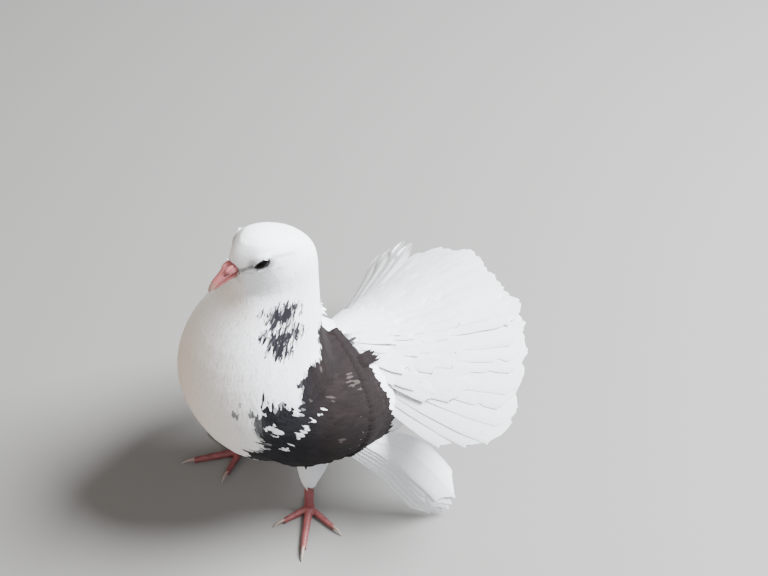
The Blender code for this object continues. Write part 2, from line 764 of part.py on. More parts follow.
def make_leg(foot, plumage, skin, horn):
    bottom = THIGH[0][0]
    rings = []
    for distance, radius in scuted(bottom - GAP - 2.0, SHANK_RADIUS * 1.12, SHANK_RADIUS, SHANK_SCUTE):
        share = distance / (bottom - GAP - 2.0)
        behind = THIGH[0][2] * share
        rings.append(upright_ring(foot.forward - behind, foot.left, 2.0 + distance, radius, 10))
    leg = new_object("foot_" + foot.side, *loft(rings), skin)
    fuse(leg, [new_object("toe", *loft(toe_rings(foot, toe))) for toe in TOES])
    for toe in TOES:
        new_object(f"claw_{foot.side}_{toe.name}", *loft(claw_rings(foot, toe)), horn)
    rings = []
    for height, radius, behind, inward in THIGH:
        left = foot.left - foot.hand * inward
        rings.append(upright_ring(foot.forward - behind, left, height, radius, 16))
    thigh = new_object("thigh_" + foot.side, *loft(rings), plumage)
    cut(thigh, [torso_cutter()])


def stand_on_origin():
    """Moves everything so that the middle of its box, on the floor, is the origin."""
    corners = [vertex.co for piece in bpy.data.objects for vertex in piece.data.vertices]
    low = [min(corner[axis] for corner in corners) for axis in range(3)]
    high = [max(corner[axis] for corner in corners) for axis in range(3)]
    middle = Vector(((low[0] + high[0]) / 2, (low[1] + high[1]) / 2, low[2]))
    for piece in bpy.data.objects:
        piece.data.transform(Matrix.Translation(-middle))


def main():
    for piece in list(bpy.data.objects):
        bpy.data.objects.remove(piece)
    white = new_material("white plumage", (0.86, 0.85, 0.82), 0.8)
    brown = new_material("brown plumage", (0.06, 0.04, 0.035), 0.7)
    horn = new_material("pink horn", (0.75, 0.3, 0.28), 0.4)
    black = new_material("eye", (0.01, 0.01, 0.01), 0.08)
    pale = new_material("pale claw", (0.7, 0.55, 0.48), 0.4)
    make_trunk(white)
    make_head(white)
    make_bill(horn)
    for name, side in (("left", 1), ("right", -1)):
        eyeball("eye_" + name, side, 0.0, black)
        make_wing("wing_" + name, side, brown)
    make_tail(white)
    for foot in FEET:
        make_leg(foot, white, horn, pale)
    stand_on_origin()


main()
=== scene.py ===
"""Looks of a standing fantail pigeon with its tail spread: plumage, bare parts, floor, light and camera."""
import math

import bmesh
import bpy
import numpy as np
from mathutils import Matrix, Vector, noise
from mathutils.bvhtree import BVHTree
from mathutils.kdtree import KDTree


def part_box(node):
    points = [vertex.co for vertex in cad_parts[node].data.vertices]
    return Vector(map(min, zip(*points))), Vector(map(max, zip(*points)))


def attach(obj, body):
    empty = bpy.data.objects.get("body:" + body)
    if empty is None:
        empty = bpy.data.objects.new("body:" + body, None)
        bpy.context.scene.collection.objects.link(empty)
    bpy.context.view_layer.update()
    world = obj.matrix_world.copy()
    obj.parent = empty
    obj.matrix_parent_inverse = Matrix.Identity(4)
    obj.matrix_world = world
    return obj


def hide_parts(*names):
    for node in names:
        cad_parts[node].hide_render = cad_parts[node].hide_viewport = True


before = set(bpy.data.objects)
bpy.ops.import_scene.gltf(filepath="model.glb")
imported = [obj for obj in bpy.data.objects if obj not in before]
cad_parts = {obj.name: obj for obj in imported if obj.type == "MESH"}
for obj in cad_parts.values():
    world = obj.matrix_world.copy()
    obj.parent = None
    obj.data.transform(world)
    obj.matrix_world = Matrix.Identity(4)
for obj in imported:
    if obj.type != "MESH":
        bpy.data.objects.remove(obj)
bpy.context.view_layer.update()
MM = 0.001
TAU = math.tau
SEED = 11

# The bird's own frame is in millimetres: forward, left and up from the ground midway between the feet.
HEAD_PLACE = (0.5, -2.5, 174.4)
HEAD_PITCH = math.radians(-19.5)
BODY_MIDDLE = -1.5
# Middle line of head, neck and body from the crown to the rump, as forward and up.
AXIS = [
    (-2.0, 184.0), (-8.0, 168.7), (-11.7, 155.7), (-0.7, 137.0), (7.7, 111.5), (0.0, 87.0),
    (-10.2, 78.5), (-22.7, 73.7), (-35.0, 72.2), (-45.2, 72.5), (-58.5, 77.0),
]
# In the head's own frame.
BILL_BASE = (11.0, 0.0, -2.0)
EYE_PLACE = (0.0, 8.9, 0.0)
EYE_RADII = (4.5, 3.5, 3.1)
EYE_LEAN = math.radians(16.0)
EYE_TURN = math.radians(17.0)
LID_RADII = (4.7, 3.1)
LID_LIFT = 1.65
CERE_PLACE = (13.2, 1.7, 0.6)
CERE_RADII = (3.0, 1.15, 1.35)
NOSTRIL_PLACE = (16.2, 2.6, -0.6)
# Bill: forward, top, bottom and half width.
UPPER_BILL = [
    (8.6, 0.6, -3.2, 3.6), (12.5, 1.2, -3.1, 3.6), (15.0, 0.7, -3.2, 3.0), (19.0, -0.3, -3.8, 2.2),
    (23.0, -1.5, -4.5, 1.7), (26.0, -3.2, -5.4, 1.15), (27.4, -4.8, -6.2, 0.5),
]
LOWER_BILL = [
    (7.8, -3.5, -6.3, 3.2), (12.0, -3.4, -6.0, 3.1), (17.0, -3.8, -5.9, 2.3), (22.0, -4.7, -6.3, 1.4),
    (25.0, -5.6, -6.7, 0.7),
]

# Tail fan: centre of its circle, turn, rise and roll, half the spread, droop of its edges, and reach.
FAN_CENTRE = (-26.5, 0.0, 81.0)
FAN_YAW = math.radians(11.5)
FAN_RISE = math.radians(9.3)
FAN_ROLL = math.radians(10.9)
FAN_HALF_SPREAD = math.radians(50.0)
FAN_DROOP = 0.263
FAN_REACH = 110.0

# Folded wing: columns from front to rear, each with its top, middle and low point.
SHIELD = [
    ((-20.0, 15.0, 117.0), (8.0, 40.0, 103.0), (31.0, 29.0, 77.0)),
    ((-25.8, 12.4, 115.0), (-8.0, 50.0, 95.0), (12.0, 42.0, 61.0)),
    ((-32.9, 9.2, 110.9), (-28.0, 50.5, 88.5), (-14.0, 49.0, 57.0)),
    ((-40.5, 6.0, 104.5), (-46.5, 44.5, 84.5), (-42.0, 51.5, 62.0)),
]
# Flight feathers of the hand: columns from their roots to their tips, each from the rear to the front edge.
HAND = [
    ((-32.0, 49.0, 74.0), (-26.0, 49.0, 67.0), (-20.0, 48.5, 60.0)),
    ((-54.0, 55.0, 55.0), (-45.0, 55.5, 48.0), (-35.0, 53.5, 41.0)),
    ((-68.0, 62.0, 38.0), (-57.0, 66.0, 28.0), (-45.5, 62.5, 20.0)),
    ((-76.0, 73.0, 14.0), (-67.5, 74.5, 6.0), (-55.5, 69.5, 0.0)),
]

# Feet: side, hand, forward, left and heading. Toes: name, heading, length, radius and claw's length.
FEET = [("left", 1, -3.5, 30.0, math.radians(51.0)), ("right", -1, 8.2, -23.3, math.radians(-21.0))]
TOES = [
    ("inner", math.radians(-53.0), 16.0, 2.25, 6.0), ("middle", 0.0, 26.0, 2.5, 7.0),
    ("outer", math.radians(52.0), 18.5, 2.2, 6.0), ("hind", math.pi, 12.0, 2.2, 6.0),
]
SHANK_BOTTOM = 1.8
SHANK_TOP = 26.0
SHANK_RADIUS = 2.6

# Camera, from the photograph's perspective: place, line of sight and lens.
CAMERA_PLACE = (219.4, 432.6, 663.0)
CAMERA_HEADING = math.radians(34.0)
CAMERA_PITCH = math.radians(46.8)
CAMERA_LENS = 69.19

WHITE = np.array((0.86, 0.878, 0.902))
# Warm cream: partly the feathers' own tone, partly painted warm shade on the throat and breast.
CREAM_AND_WARM_SHADE = np.array((0.59, 0.485, 0.375))
BROWN = np.array((0.0108, 0.0076, 0.0079))
SLATE = np.array((0.0125, 0.0125, 0.0155))
FLECK = np.array((0.09, 0.075, 0.07))
LID_DARK = np.array((0.045, 0.042, 0.045))
BILL_PINK = np.array((0.36, 0.108, 0.112))
BILL_TIP = np.array((0.37, 0.24, 0.21))
CERE_PINK = np.array((0.47, 0.15, 0.16))
FOOT_RED = np.array((0.19, 0.05, 0.052))
CLAW_BASE = np.array((0.28, 0.17, 0.15))
CLAW_TIP = np.array((0.34, 0.28, 0.25))
EYE_BLACK = (0.003, 0.002, 0.002, 1.0)
FLOOR_GREY = (0.19, 0.186, 0.18, 1.0)
FLOOR_HALF = 3.0
SKY = (0.93, 0.96, 1.0, 1.0)
SKY_STRENGTH = 0.24
# Lamps: name, place, size, power and colour.
LAMPS = [
    ("key", (-700, 330, 950), 0.65, 95.0, (0.955, 0.98, 1.0)),
    ("front", (250, 750, 700), 1.0, 4.5, (0.96, 0.98, 1.0)),
    ("fill", (650, -250, 300), 0.9, 3.5, (1.0, 0.83, 0.66)),
]


def eye_middle():
    low_left, high_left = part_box("eye_left")
    low_right, high_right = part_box("eye_right")
    return (low_left + high_left + low_right + high_right) / 4


def bird(forward, left, up):
    """The bird's frame turned into Blender's axes, still in millimetres."""
    return Vector((left, -forward, up))


ORIGIN = eye_middle() - bird(*HEAD_PLACE) * MM


def at(forward, left, up):
    return ORIGIN + bird(forward, left, up) * MM


def to_bird(points):
    """Scene places, as rows of forward, left and up in millimetres."""
    local = (np.asarray(points, float).reshape(-1, 3) - np.array(ORIGIN)) / MM
    return np.stack((-local[:, 1], local[:, 0], local[:, 2]), axis=1)


def turned(vectors):
    """Directions of the bird's frame in Blender's axes."""
    vectors = np.asarray(vectors, float)
    return np.stack((vectors[..., 1], -vectors[..., 0], vectors[..., 2]), axis=-1)


def to_scene(points):
    return turned(points) * MM + np.array(ORIGIN)


def rotated(x, y, angle):
    cos, sin = math.cos(angle), math.sin(angle)
    return x * cos - y * sin, x * sin + y * cos


def mixed(one, two, share):
    return one * (1 - share) + two * share


def from_head(points):
    """Places in the head's own frame, as places on the bird."""
    points = np.asarray(points, float)
    ahead, rise = rotated(points[..., 0], points[..., 2], HEAD_PITCH)
    return np.stack((ahead, points[..., 1], rise), axis=-1) + np.array(HEAD_PLACE)


def in_head(points):
    """Bird places as forward, left and up in the head's own frame."""
    points = np.asarray(points, float).reshape(-1, 3) - np.array(HEAD_PLACE)
    forward, up = rotated(points[:, 0], points[:, 2], -HEAD_PITCH)
    return np.stack((forward, points[:, 1], up), axis=1)


def fan_point(along, across, lift):
    """Places on the tail fan: distance from its centre, angle to the left, and lift off it."""
    droop = FAN_DROOP * (across / FAN_HALF_SPREAD) ** 2 * along
    left, up = rotated(along * np.sin(across), lift - droop, FAN_ROLL)
    away, up = rotated(along * np.cos(across), up, FAN_RISE)
    away, left = rotated(away, left, FAN_YAW)
    return np.stack((-away, left, up), axis=-1) + np.array(FAN_CENTRE)


def smooth_between(rows, place):
    """Catmull-Rom values among equally spaced rows, straight on past either end."""
    rows = np.asarray(rows, float)
    last = len(rows) - 1
    place = np.asarray(place, float)
    padded = np.concatenate((2 * rows[:1] - rows[1:2], rows, 2 * rows[-1:] - rows[-2:-1]))
    start = np.clip(np.floor(place).astype(int), 0, last - 1)
    t = (place - start).reshape(place.shape + (1,) * (rows.ndim - 1))
    inside = np.clip(t, 0, 1)
    before, one, two, after = (padded[start + k] for k in range(4))
    bend = 2 * before - 5 * one + 4 * two - after
    turn = 3 * one - before - 3 * two + after
    value = 0.5 * (2 * one + (two - before) * inside + bend * inside**2 + turn * inside**3)
    return value + (t - inside) * (two - one)


def patch_base(columns, along, across):
    rows = smooth_between(columns, along * (len(columns) - 1))
    t = across[..., None]
    top, middle, low = rows[..., 0, :], rows[..., 1, :], rows[..., 2, :]
    return top * (2 * (t - 0.5) * (t - 1)) + middle * (-4 * t * (t - 1)) + low * (2 * t * (t - 0.5))


def patch_point(columns, side, along, across, lift):
    """Places lifted off a patch of the left wing, or of the right one for side -1."""
    along, across, lift = np.broadcast_arrays(along, across, lift)
    along, across = np.asarray(along, float), np.asarray(across, float)
    step = 0.01
    here = patch_base(columns, along, across)
    run = patch_base(columns, along + step, across) - here
    down = patch_base(columns, along, across + step) - here
    outward = np.cross(down, run)
    outward /= np.linalg.norm(outward, axis=-1, keepdims=True)
    place = here + outward * lift[..., None]
    place[..., 1] *= side
    return place


def smoothstep(low, high, value):
    t = np.clip((value - low) / (high - low), 0, 1)
    return t * t * (3 - 2 * t)


def unit(vectors):
    return vectors / np.linalg.norm(vectors, axis=-1, keepdims=True)


# Materials


def add(tree, kind, **values):
    """A node with its properties, or the defaults of its inputs, set by name."""
    node = tree.nodes.new(kind)
    for name, value in values.items():
        if hasattr(node, name):
            setattr(node, name, value)
        else:
            node.inputs[name.replace("_", " ")].default_value = value
    return node


def join(tree, *links):
    """Links sockets: node and output, then node and input."""
    for source, output, target, socket in links:
        tree.links.new(source.outputs[output], target.inputs[socket])


def principled(name, roughness, **inputs):
    material = bpy.data.materials.new(name)
    material.use_nodes = True
    tree = material.node_tree
    shader = tree.nodes["Principled BSDF"]
    shader.inputs["Roughness"].default_value = roughness
    for key, value in inputs.items():
        shader.inputs[key.replace("_", " ")].default_value = value
    return material, tree, shader


def shaded_tint(tree, shader, grain, low, high):
    """Base colour from the mesh's tint, a little lighter and darker with a noise node's value."""
    tint = add(tree, "ShaderNodeAttribute", attribute_name="Tint")
    span = add(tree, "ShaderNodeMapRange", From_Min=0.2, From_Max=0.8, To_Min=low, To_Max=high)
    shade = add(tree, "ShaderNodeMix", data_type="RGBA", blend_type="MULTIPLY")
    shade.inputs["Factor"].default_value = 1.0
    join(tree, (grain, "Fac", span, "Value"), (tint, "Color", shade, "A"), (span, "Result", shade, "B"),
         (shade, "Result", shader, "Base Color"))


def plumage_material(name, barbs, strength, depth):
    """Feather: colour from the mesh's tint, with slanting barbs as bump on either side of the shaft."""
    material, tree, shader = principled(
        name, 0.8, Sheen_Weight=0.02, Sheen_Roughness=0.5, Specular_IOR_Level=0.12)
    vane = add(tree, "ShaderNodeUVMap", uv_map="Vane")
    split = add(tree, "ShaderNodeSeparateXYZ")
    aside = add(tree, "ShaderNodeMath", operation="ABSOLUTE")
    slant = add(tree, "ShaderNodeMath", operation="MULTIPLY_ADD")
    slant.inputs[1].default_value = -1.1
    phase = add(tree, "ShaderNodeMath", operation="MULTIPLY")
    phase.inputs[1].default_value = barbs * TAU
    wave = add(tree, "ShaderNodeMath", operation="SINE")
    clump = add(tree, "ShaderNodeTexNoise", Scale=900.0, Detail=3.0)
    place = add(tree, "ShaderNodeTexCoord")
    mix = add(tree, "ShaderNodeMath", operation="MULTIPLY_ADD")
    mix.inputs[1].default_value = 0.35
    bump = add(tree, "ShaderNodeBump", Strength=strength, Distance=depth)
    join(tree, (vane, "UV", split, "Vector"), (split, "X", aside, 0), (aside, "Value", slant, 0),
         (split, "Y", slant, 2), (slant, "Value", phase, 0), (phase, "Value", wave, 0),
         (place, "Object", clump, "Vector"), (wave, "Value", mix, 0), (clump, "Fac", mix, 2),
         (mix, "Value", bump, "Height"), (bump, "Normal", shader, "Normal"))
    shaded_tint(tree, shader, clump, 0.94, 1.05)
    return material


def bare_material(name, roughness, scale, strength, **inputs):
    """Bare skin or horn: colour from the mesh's tint, with fine grain."""
    material, tree, shader = principled(name, roughness, **inputs)
    place = add(tree, "ShaderNodeTexCoord")
    grain = add(tree, "ShaderNodeTexNoise", Scale=scale, Detail=4.0)
    bump = add(tree, "ShaderNodeBump", Strength=strength, Distance=0.0002)
    join(tree, (place, "Object", grain, "Vector"), (grain, "Fac", bump, "Height"),
         (bump, "Normal", shader, "Normal"))
    shaded_tint(tree, shader, grain, 0.85, 1.12)
    return material


# Meshes


def link_object(name, data):
    piece = bpy.data.objects.new(name, data)
    bpy.context.scene.collection.objects.link(piece)
    return piece


def mesh_object(name, points, faces, material=None, smooth=True):
    """An object from scene places."""
    mesh = bpy.data.meshes.new(name)
    mesh.from_pydata(np.asarray(points, float).reshape(-1, 3).tolist(), [], [tuple(face) for face in faces])
    piece = link_object(name, mesh)
    if smooth:
        mesh.shade_smooth()
    if material:
        mesh.materials.append(material)
    return piece


def set_colours(mesh, colours):
    """A colour for each point, as the attribute Tint."""
    attribute = mesh.color_attributes.new("Tint", "FLOAT_COLOR", "POINT")
    full = np.ones((len(mesh.vertices), 4), np.float32)
    full[:, :3] = np.clip(colours, 0, 1)
    attribute.data.foreach_set("color", full.ravel())


def fetch(items, name, wide=1, kind=np.int32):
    """A property of all of a mesh's items, with a row for each where it has several numbers."""
    values = np.zeros(len(items) * wide, kind)
    items.foreach_get(name, values)
    return values.reshape(-1, wide) if wide > 1 else values


def set_uv(mesh, name, values):
    """UV of each point, copied to its corners."""
    corners = fetch(mesh.loops, "vertex_index")
    mesh.uv_layers.new(name=name).data.foreach_set("uv", np.asarray(values, np.float32)[corners].ravel())


def mesh_points(mesh):
    return fetch(mesh.vertices, "co", 3, np.float32).astype(float)


def paint(piece, colour, material):
    """Tints a piece by a function of the bird place."""
    set_colours(piece.data, np.array([colour(point) for point in to_bird(mesh_points(piece.data))]))
    piece.data.materials.append(material)


def search_tree(places):
    tree = KDTree(len(places))
    for index, place in enumerate(places):
        tree.insert(place, index)
    tree.balance()
    return tree


def face_out(mesh):
    work = bmesh.new()
    work.from_mesh(mesh)
    bmesh.ops.recalc_face_normals(work, faces=work.faces[:])
    work.to_mesh(mesh)
    work.free()


def sheet_faces(rows, columns):
    """Faces of a closed sheet whose points are its top rows and then its lower ones."""
    below = rows * columns
    faces = []
    for row in range(rows - 1):
        for column in range(columns - 1):
            a = row * columns + column
            b, c, d = a + 1, a + columns + 1, a + columns
            faces.append((a, b, c, d))
            faces.append((below + d, below + c, below + b, below + a))
    rim = list(range(columns))
    rim += [row * columns + columns - 1 for row in range(1, rows)]
    rim += [(rows - 1) * columns + column for column in range(columns - 2, -1, -1)]
    rim += [row * columns for row in range(rows - 2, 0, -1)]
    for one, two in zip(rim, rim[1:] + rim[:1]):
        faces.append((two, one, below + one, below + two))
    return faces


def loft_faces(rings, sides):
    """Faces of a closed tube of rings, with its ends capped."""
    faces = []
    for ring in range(rings - 1):
        for side in range(sides):
            a, b = ring * sides + side, ring * sides + (side + 1) % sides
            faces.append((a, b, b + sides, a + sides))
    faces.append(tuple(range(sides - 1, -1, -1)))
    faces.append(tuple(range((rings - 1) * sides, rings * sides)))
    return faces


def fused(name, parts, voxel, smoothing):
    """One skin round closed parts, each of scene places and faces, in a fresh object."""
    work = bmesh.new()
    for points, faces in parts:
        verts = [work.verts.new(point) for point in points]
        made = [work.faces.new([verts[index] for index in face]) for face in faces]
        bmesh.ops.recalc_face_normals(work, faces=made)
    mesh = bpy.data.meshes.new(name)
    work.to_mesh(mesh)
    work.free()
    return remeshed(link_object(name, mesh), voxel, smoothing)


def remeshed(piece, voxel, smoothing):
    remesh = piece.modifiers.new("Remesh", "REMESH")
    remesh.mode = "VOXEL"
    remesh.voxel_size = voxel * MM
    smooth = piece.modifiers.new("Smooth", "SMOOTH")
    smooth.factor = 0.5
    smooth.iterations = smoothing
    graph = bpy.context.evaluated_depsgraph_get()
    mesh = bpy.data.meshes.new_from_object(piece.evaluated_get(graph))
    piece.modifiers.clear()
    piece.data = mesh
    keep_largest(mesh)
    mesh.shade_smooth()
    return piece


def keep_largest(mesh):
    work = bmesh.new()
    work.from_mesh(mesh)
    left = set(work.verts)
    shells = []
    while left:
        start = left.pop()
        shell, edge = [start], [start]
        while edge:
            vertex = edge.pop()
            for spoke in vertex.link_edges:
                other = spoke.other_vert(vertex)
                if other in left:
                    left.discard(other)
                    shell.append(other)
                    edge.append(other)
        shells.append(shell)
    shells.sort(key=len)
    drop = [vertex for shell in shells[:-1] for vertex in shell]
    bmesh.ops.delete(work, geom=drop, context="VERTS")
    work.to_mesh(mesh)
    work.free()


# Skin


def node_part(node, grow):
    """A node's mesh, welded and grown a little, as points and faces."""
    part = bmesh.new()
    part.from_mesh(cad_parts[node].data)
    bmesh.ops.remove_doubles(part, verts=part.verts, dist=1e-6)
    part.normal_update()
    part.verts.index_update()
    points = [vertex.co + vertex.normal * grow for vertex in part.verts]
    faces = [tuple(vertex.index for vertex in face.verts) for face in part.faces]
    part.free()
    return points, faces


def shield_pad(side):
    """A pillow under the wing's coverts, as points and faces."""
    along, across = np.meshgrid(np.linspace(-0.02, 0.97, 16), np.linspace(0.03, 0.99, 16), indexing="ij")
    inside = np.clip((1 - np.abs(2 * across - 1) ** 3) * (1 - np.abs(2 * along - 0.95) ** 3), 0, 1)
    top = patch_point(SHIELD, side, along, across, -0.6 + 0.0 * along)
    low = patch_point(SHIELD, side, along, across, -2.6 - 7.0 * inside)
    points = np.concatenate((top.reshape(-1, 3), low.reshape(-1, 3)))
    return to_scene(points), sheet_faces(16, 16)


def make_skin():
    parts = [node_part(node, 0.25 * MM) for node in ("head", "neck", "torso", "thigh_left", "thigh_right")]
    parts += [shield_pad(side) for side in (1, -1)]
    skin = fused("skin", parts, 1.1, 9)
    mesh = skin.data
    points = mesh_points(mesh)
    depth = 0.45 + 0.35 * smoothstep(165.0, 145.0, to_bird(points)[:, 2])
    points -= fetch(mesh.vertices, "normal", 3, np.float32) * (depth * MM)[:, None]
    mesh.vertices.foreach_set("co", points.ravel())
    mesh.update()
    return skin


def colour_skin(skin, material):
    mesh = skin.data
    points = to_bird(mesh_points(mesh))
    set_colours(mesh, np.array([plumage_colour(point) for point in points]) * 0.9)
    charts = chart_of(points)[fetch(mesh.loops, "vertex_index")]
    first = np.repeat(charts[fetch(mesh.polygons, "loop_start"), 0], fetch(mesh.polygons, "loop_total"))
    charts[:, 0] += CHART_WIDTH * np.round((first - charts[:, 0]) / CHART_WIDTH)
    mesh.uv_layers.new(name="OFBake").data.foreach_set("uv", charts.astype(np.float32).ravel())
    set_uv(mesh, "Vane", points[:, :2] * 0.5)
    mesh.materials.clear()
    mesh.materials.append(material)


# Where the plumage lies and what colour it has


def axis_frame(points):
    """Place along the body's middle line, 0 to 1, its direction, and the angle round it, for bird places."""
    line = np.array(AXIS)
    flat = points[:, [0, 2]]
    starts, runs = line[:-1], line[1:] - line[:-1]
    lengths = np.linalg.norm(runs, axis=1)
    reach = np.concatenate(((0,), np.cumsum(lengths)))
    t = np.clip(((flat[:, None, :] - starts) * runs).sum(2) / lengths**2, 0, 1)
    nearest_places = starts + runs * t[:, :, None]
    distance = np.linalg.norm(flat[:, None, :] - nearest_places, axis=2)
    weight = 1.0 / (distance + 1.0) ** 6
    weight /= weight.sum(1, keepdims=True)
    place = ((reach[:-1] + t * lengths) * weight).sum(1) / reach[-1]
    heading = unit(((runs / lengths[:, None])[None] * weight[:, :, None]).sum(1))
    middle = (nearest_places * weight[:, :, None]).sum(1)
    offset = flat - middle
    depth = offset[:, 0] * -heading[:, 1] + offset[:, 1] * heading[:, 0]
    angle = np.arctan2(points[:, 1] - BODY_MIDDLE, depth)
    return place, heading, angle


CHART_WIDTH = 0.68
THIGH_FROM = 0.74


def on_thigh(points):
    return (points[:, 2] < 50) & (np.abs(points[:, 1]) > 12) & (points[:, 0] > -25)


def chart_of(points):
    """Places on the unwrapped skin: along the body's middle line and round it, with the thighs beside it."""
    place, _, angle = axis_frame(points)
    chart = np.stack((0.02 + CHART_WIDTH * (angle / TAU + 0.5), 0.02 + 0.94 * place), axis=1)
    side = np.sign(points[:, 1])
    round_thigh = np.arctan2(points[:, 1] - side * 27.0, points[:, 0] - 1.0)
    beside = THIGH_FROM + 0.11 * (round_thigh / TAU + 0.5) + 0.06 * (1 - side)
    thigh = np.stack((beside, 0.02 + (points[:, 2] - 20) / 40), axis=1)
    return np.where(on_thigh(points)[:, None], thigh, chart)


def wing_grid():
    """A search tree of places on both wings' shields, with the run of the feathers and the side at each."""
    steps = np.linspace(-0.05, 1.05, 45)
    along, across = np.meshgrid(steps, steps, indexing="ij")
    places, runs, sides = [], [], []
    for side in (1, -1):
        here = patch_point(SHIELD, side, along, across, 0.0 * along).reshape(-1, 3)
        ahead = patch_point(SHIELD, side, along + 0.02, across, 0.0 * along).reshape(-1, 3)
        places.append(here)
        runs.append(unit(ahead - here))
        sides.append(np.full(len(here), side))
    return search_tree(np.concatenate(places)), np.concatenate(runs), np.concatenate(sides)


WING_TREE, WING_RUNS, WING_SIDES = wing_grid()


def on_wing(points):
    """How surely bird places lie on a shield, 0 to 1, with the feathers' run and the side there."""
    found = [WING_TREE.find(point) for point in points]
    index = np.array([row[1] for row in found])
    inside = 1.0 - smoothstep(1.0, 4.5, np.array([row[2] for row in found]))
    return inside, WING_RUNS[index], WING_SIDES[index]


def flow(points, normals, wing, wing_runs):
    """Direction in which feathers lie at bird places with those normals."""
    _, heading, _ = axis_frame(points)
    down = np.stack((heading[:, 0], 0.0 * heading[:, 0], heading[:, 1]), axis=1)
    away = points - from_head(BILL_BASE)
    distance = np.linalg.norm(away, axis=1, keepdims=True)
    mix = smoothstep(15.0, 27.0, distance)
    way = away / distance * (1 - mix) + down * mix
    way[on_thigh(points)] = (-0.15, 0.0, -1.0)
    way = way * (1 - wing[:, None]) + wing_runs * wing[:, None]
    way -= normals * (way * normals).sum(1, keepdims=True)
    return unit(way)


# Dark shield's outline from the left, as forward and up, from its top front corner backwards and round.
SHIELD_OUTLINE = [
    (-20.5, 136.0), (-32.2, 112.0), (-40.5, 100.0), (-47.0, 89.0), (-45.0, 80.0), (-42.5, 66.0),
    (-29.0, 55.0), (-10.0, 54.0), (12.0, 60.0), (27.5, 64.0), (30.0, 78.0), (22.0, 83.0), (25.0, 88.5),
    (26.0, 97.0), (24.3, 104.0), (18.3, 107.0), (11.6, 105.5), (6.0, 102.5), (2.5, 106.5), (1.8, 112.7),
    (-0.5, 119.5), (-8.3, 123.0), (-13.5, 121.5), (-16.0, 127.0), (-16.5, 134.5),
]
# White marks in the dark front of the wing, as streaks: start and end as forward and up, and half width.
WHITE_MARKS = [
    ((21.0, 97.6), (15.2, 94.2), 1.1), ((18.1, 92.4), (17.8, 98.8), 0.8), ((10.4, 88.7), (6.5, 90.5), 0.7),
    ((6.5, 90.5), (0.2, 97.7), 0.85), ((-1.3, 96.8), (-6.2, 99.6), 0.55), ((15.9, 81.0), (12.2, 84.0), 0.45),
]
# Pale flecks in the brown of the wing, in the same form.
PALE_MARKS = [
    ((-28.0, 101.8), (-26.5, 99.5), 0.7), ((-33.9, 90.2), (-32.5, 86.8), 0.8),
    ((-15.2, 89.0), (-15.5, 85.0), 0.6), ((-10.9, 82.0), (-10.7, 78.5), 0.6),
    ((-13.3, 102.0), (-12.8, 99.8), 0.6),
]
# Black patch on the side of the neck, as lobes: forward, up, half sizes.
NECK_LOBES = [(-3.2, 146.0, 8.8, 3.9), (-0.6, 138.4, 9.4, 3.6), (4.8, 133.6, 5.6, 4.0)]
# Folds of the face in the head's frame: start, end, half width and how much is left of the light in them.
FACE_FOLDS = [
    ((-4.6, 1.6), (-15.0, -6.5), 0.75, 0.72),
    ((4.2, 0.9), (13.0, -2.3), 0.8, 0.36),
    ((11.5, -2.6), (3.8, -3.6), 0.4, 0.74),
    ((3.6, -4.2), (-4.5, -6.4), 0.5, 0.78),
    ((-4.5, -6.4), (-8.0, -9.5), 0.5, 0.86),
]


def segment_distance(x, y, ax, ay, bx, by):
    run_x, run_y = bx - ax, by - ay
    t = ((x - ax) * run_x + (y - ay) * run_y) / (run_x**2 + run_y**2)
    t = min(1.0, max(0.0, t))
    return math.hypot(x - ax - run_x * t, y - ay - run_y * t)


def in_outline(outline, x, y):
    """Signed distance to an outline, positive inside, for one point."""
    inside = False
    best = 1e9
    for (ax, ay), (bx, by) in zip(outline, outline[1:] + outline[:1]):
        if (ay > y) != (by > y) and x < (bx - ax) * (y - ay) / (by - ay) + ax:
            inside = not inside
        best = min(best, segment_distance(x, y, ax, ay, bx, by))
    return best if inside else -best


def in_mark(marks, forward, up, wander):
    """Whether a place lies on one of the streaks of a list."""
    return any(
        segment_distance(forward, up, *one, *two) < width * (1 + wander) for one, two, width in marks)


def step_between(low, high, value):
    t = min(1.0, max(0.0, (value - low) / (high - low)))
    return t * t * (3 - 2 * t)


def white_plumage(forward, left, up):
    """White; cream on the throat and the breast's front and right is partly the feathers' tone, partly
    painted warm shade.
    """
    # Painted shade under the head: cream down the throat.
    throat_shade = step_between(6.0, 14.0, forward)
    throat_shade *= step_between(176.0, 166.0, up) * step_between(138.0, 158.0, up)
    # Cream on the breast's front and right: partly the feathers' tone, partly painted warm shade.
    cream_and_shade = 0.85 * throat_shade + 0.5 * step_between(16.0, 44.0, forward)
    cream_and_shade += 0.25 * step_between(20.0, -25.0, left) * step_between(0.0, 25.0, forward)
    # Painted shade: darker at the back of the neck and on the lower body.
    neck = step_between(168.0, 156.0, up) * step_between(120.0, 135.0, up) * step_between(6.0, -6.0, forward)
    shade = 1 - 0.26 * step_between(72.0, 42.0, up) - 0.14 * neck
    return mixed(WHITE, CREAM_AND_WARM_SHADE, min(cream_and_shade, 1.0)) * shade


def dark_wing(forward, left, up, where):
    """Brown shield, blue-black in front, with pale flecks and white marks."""
    slate = step_between(-6.0, 12.0, forward + 0.15 * (up - 80))
    streak = noise.noise(Vector((up * 0.55, left * 0.3, forward * 0.13)))
    shade = mixed(BROWN, SLATE, slate) * (1 + 0.5 * streak)
    haze = 0.45 * step_between(20.0, 30.0, forward) * step_between(86.0, 100.0, up)
    shade = mixed(shade, WHITE * 0.55, haze)
    wander = 0.5 * noise.noise(where * 0.6)
    if in_mark(PALE_MARKS, forward, up, wander) or noise.noise(where * 0.45 + Vector((0, 0, 70))) > 0.62:
        shade = mixed(shade, FLECK, 0.5)
    if in_mark(WHITE_MARKS, forward, up, wander + 0.7 * streak):
        shade = WHITE * 0.92
    return shade


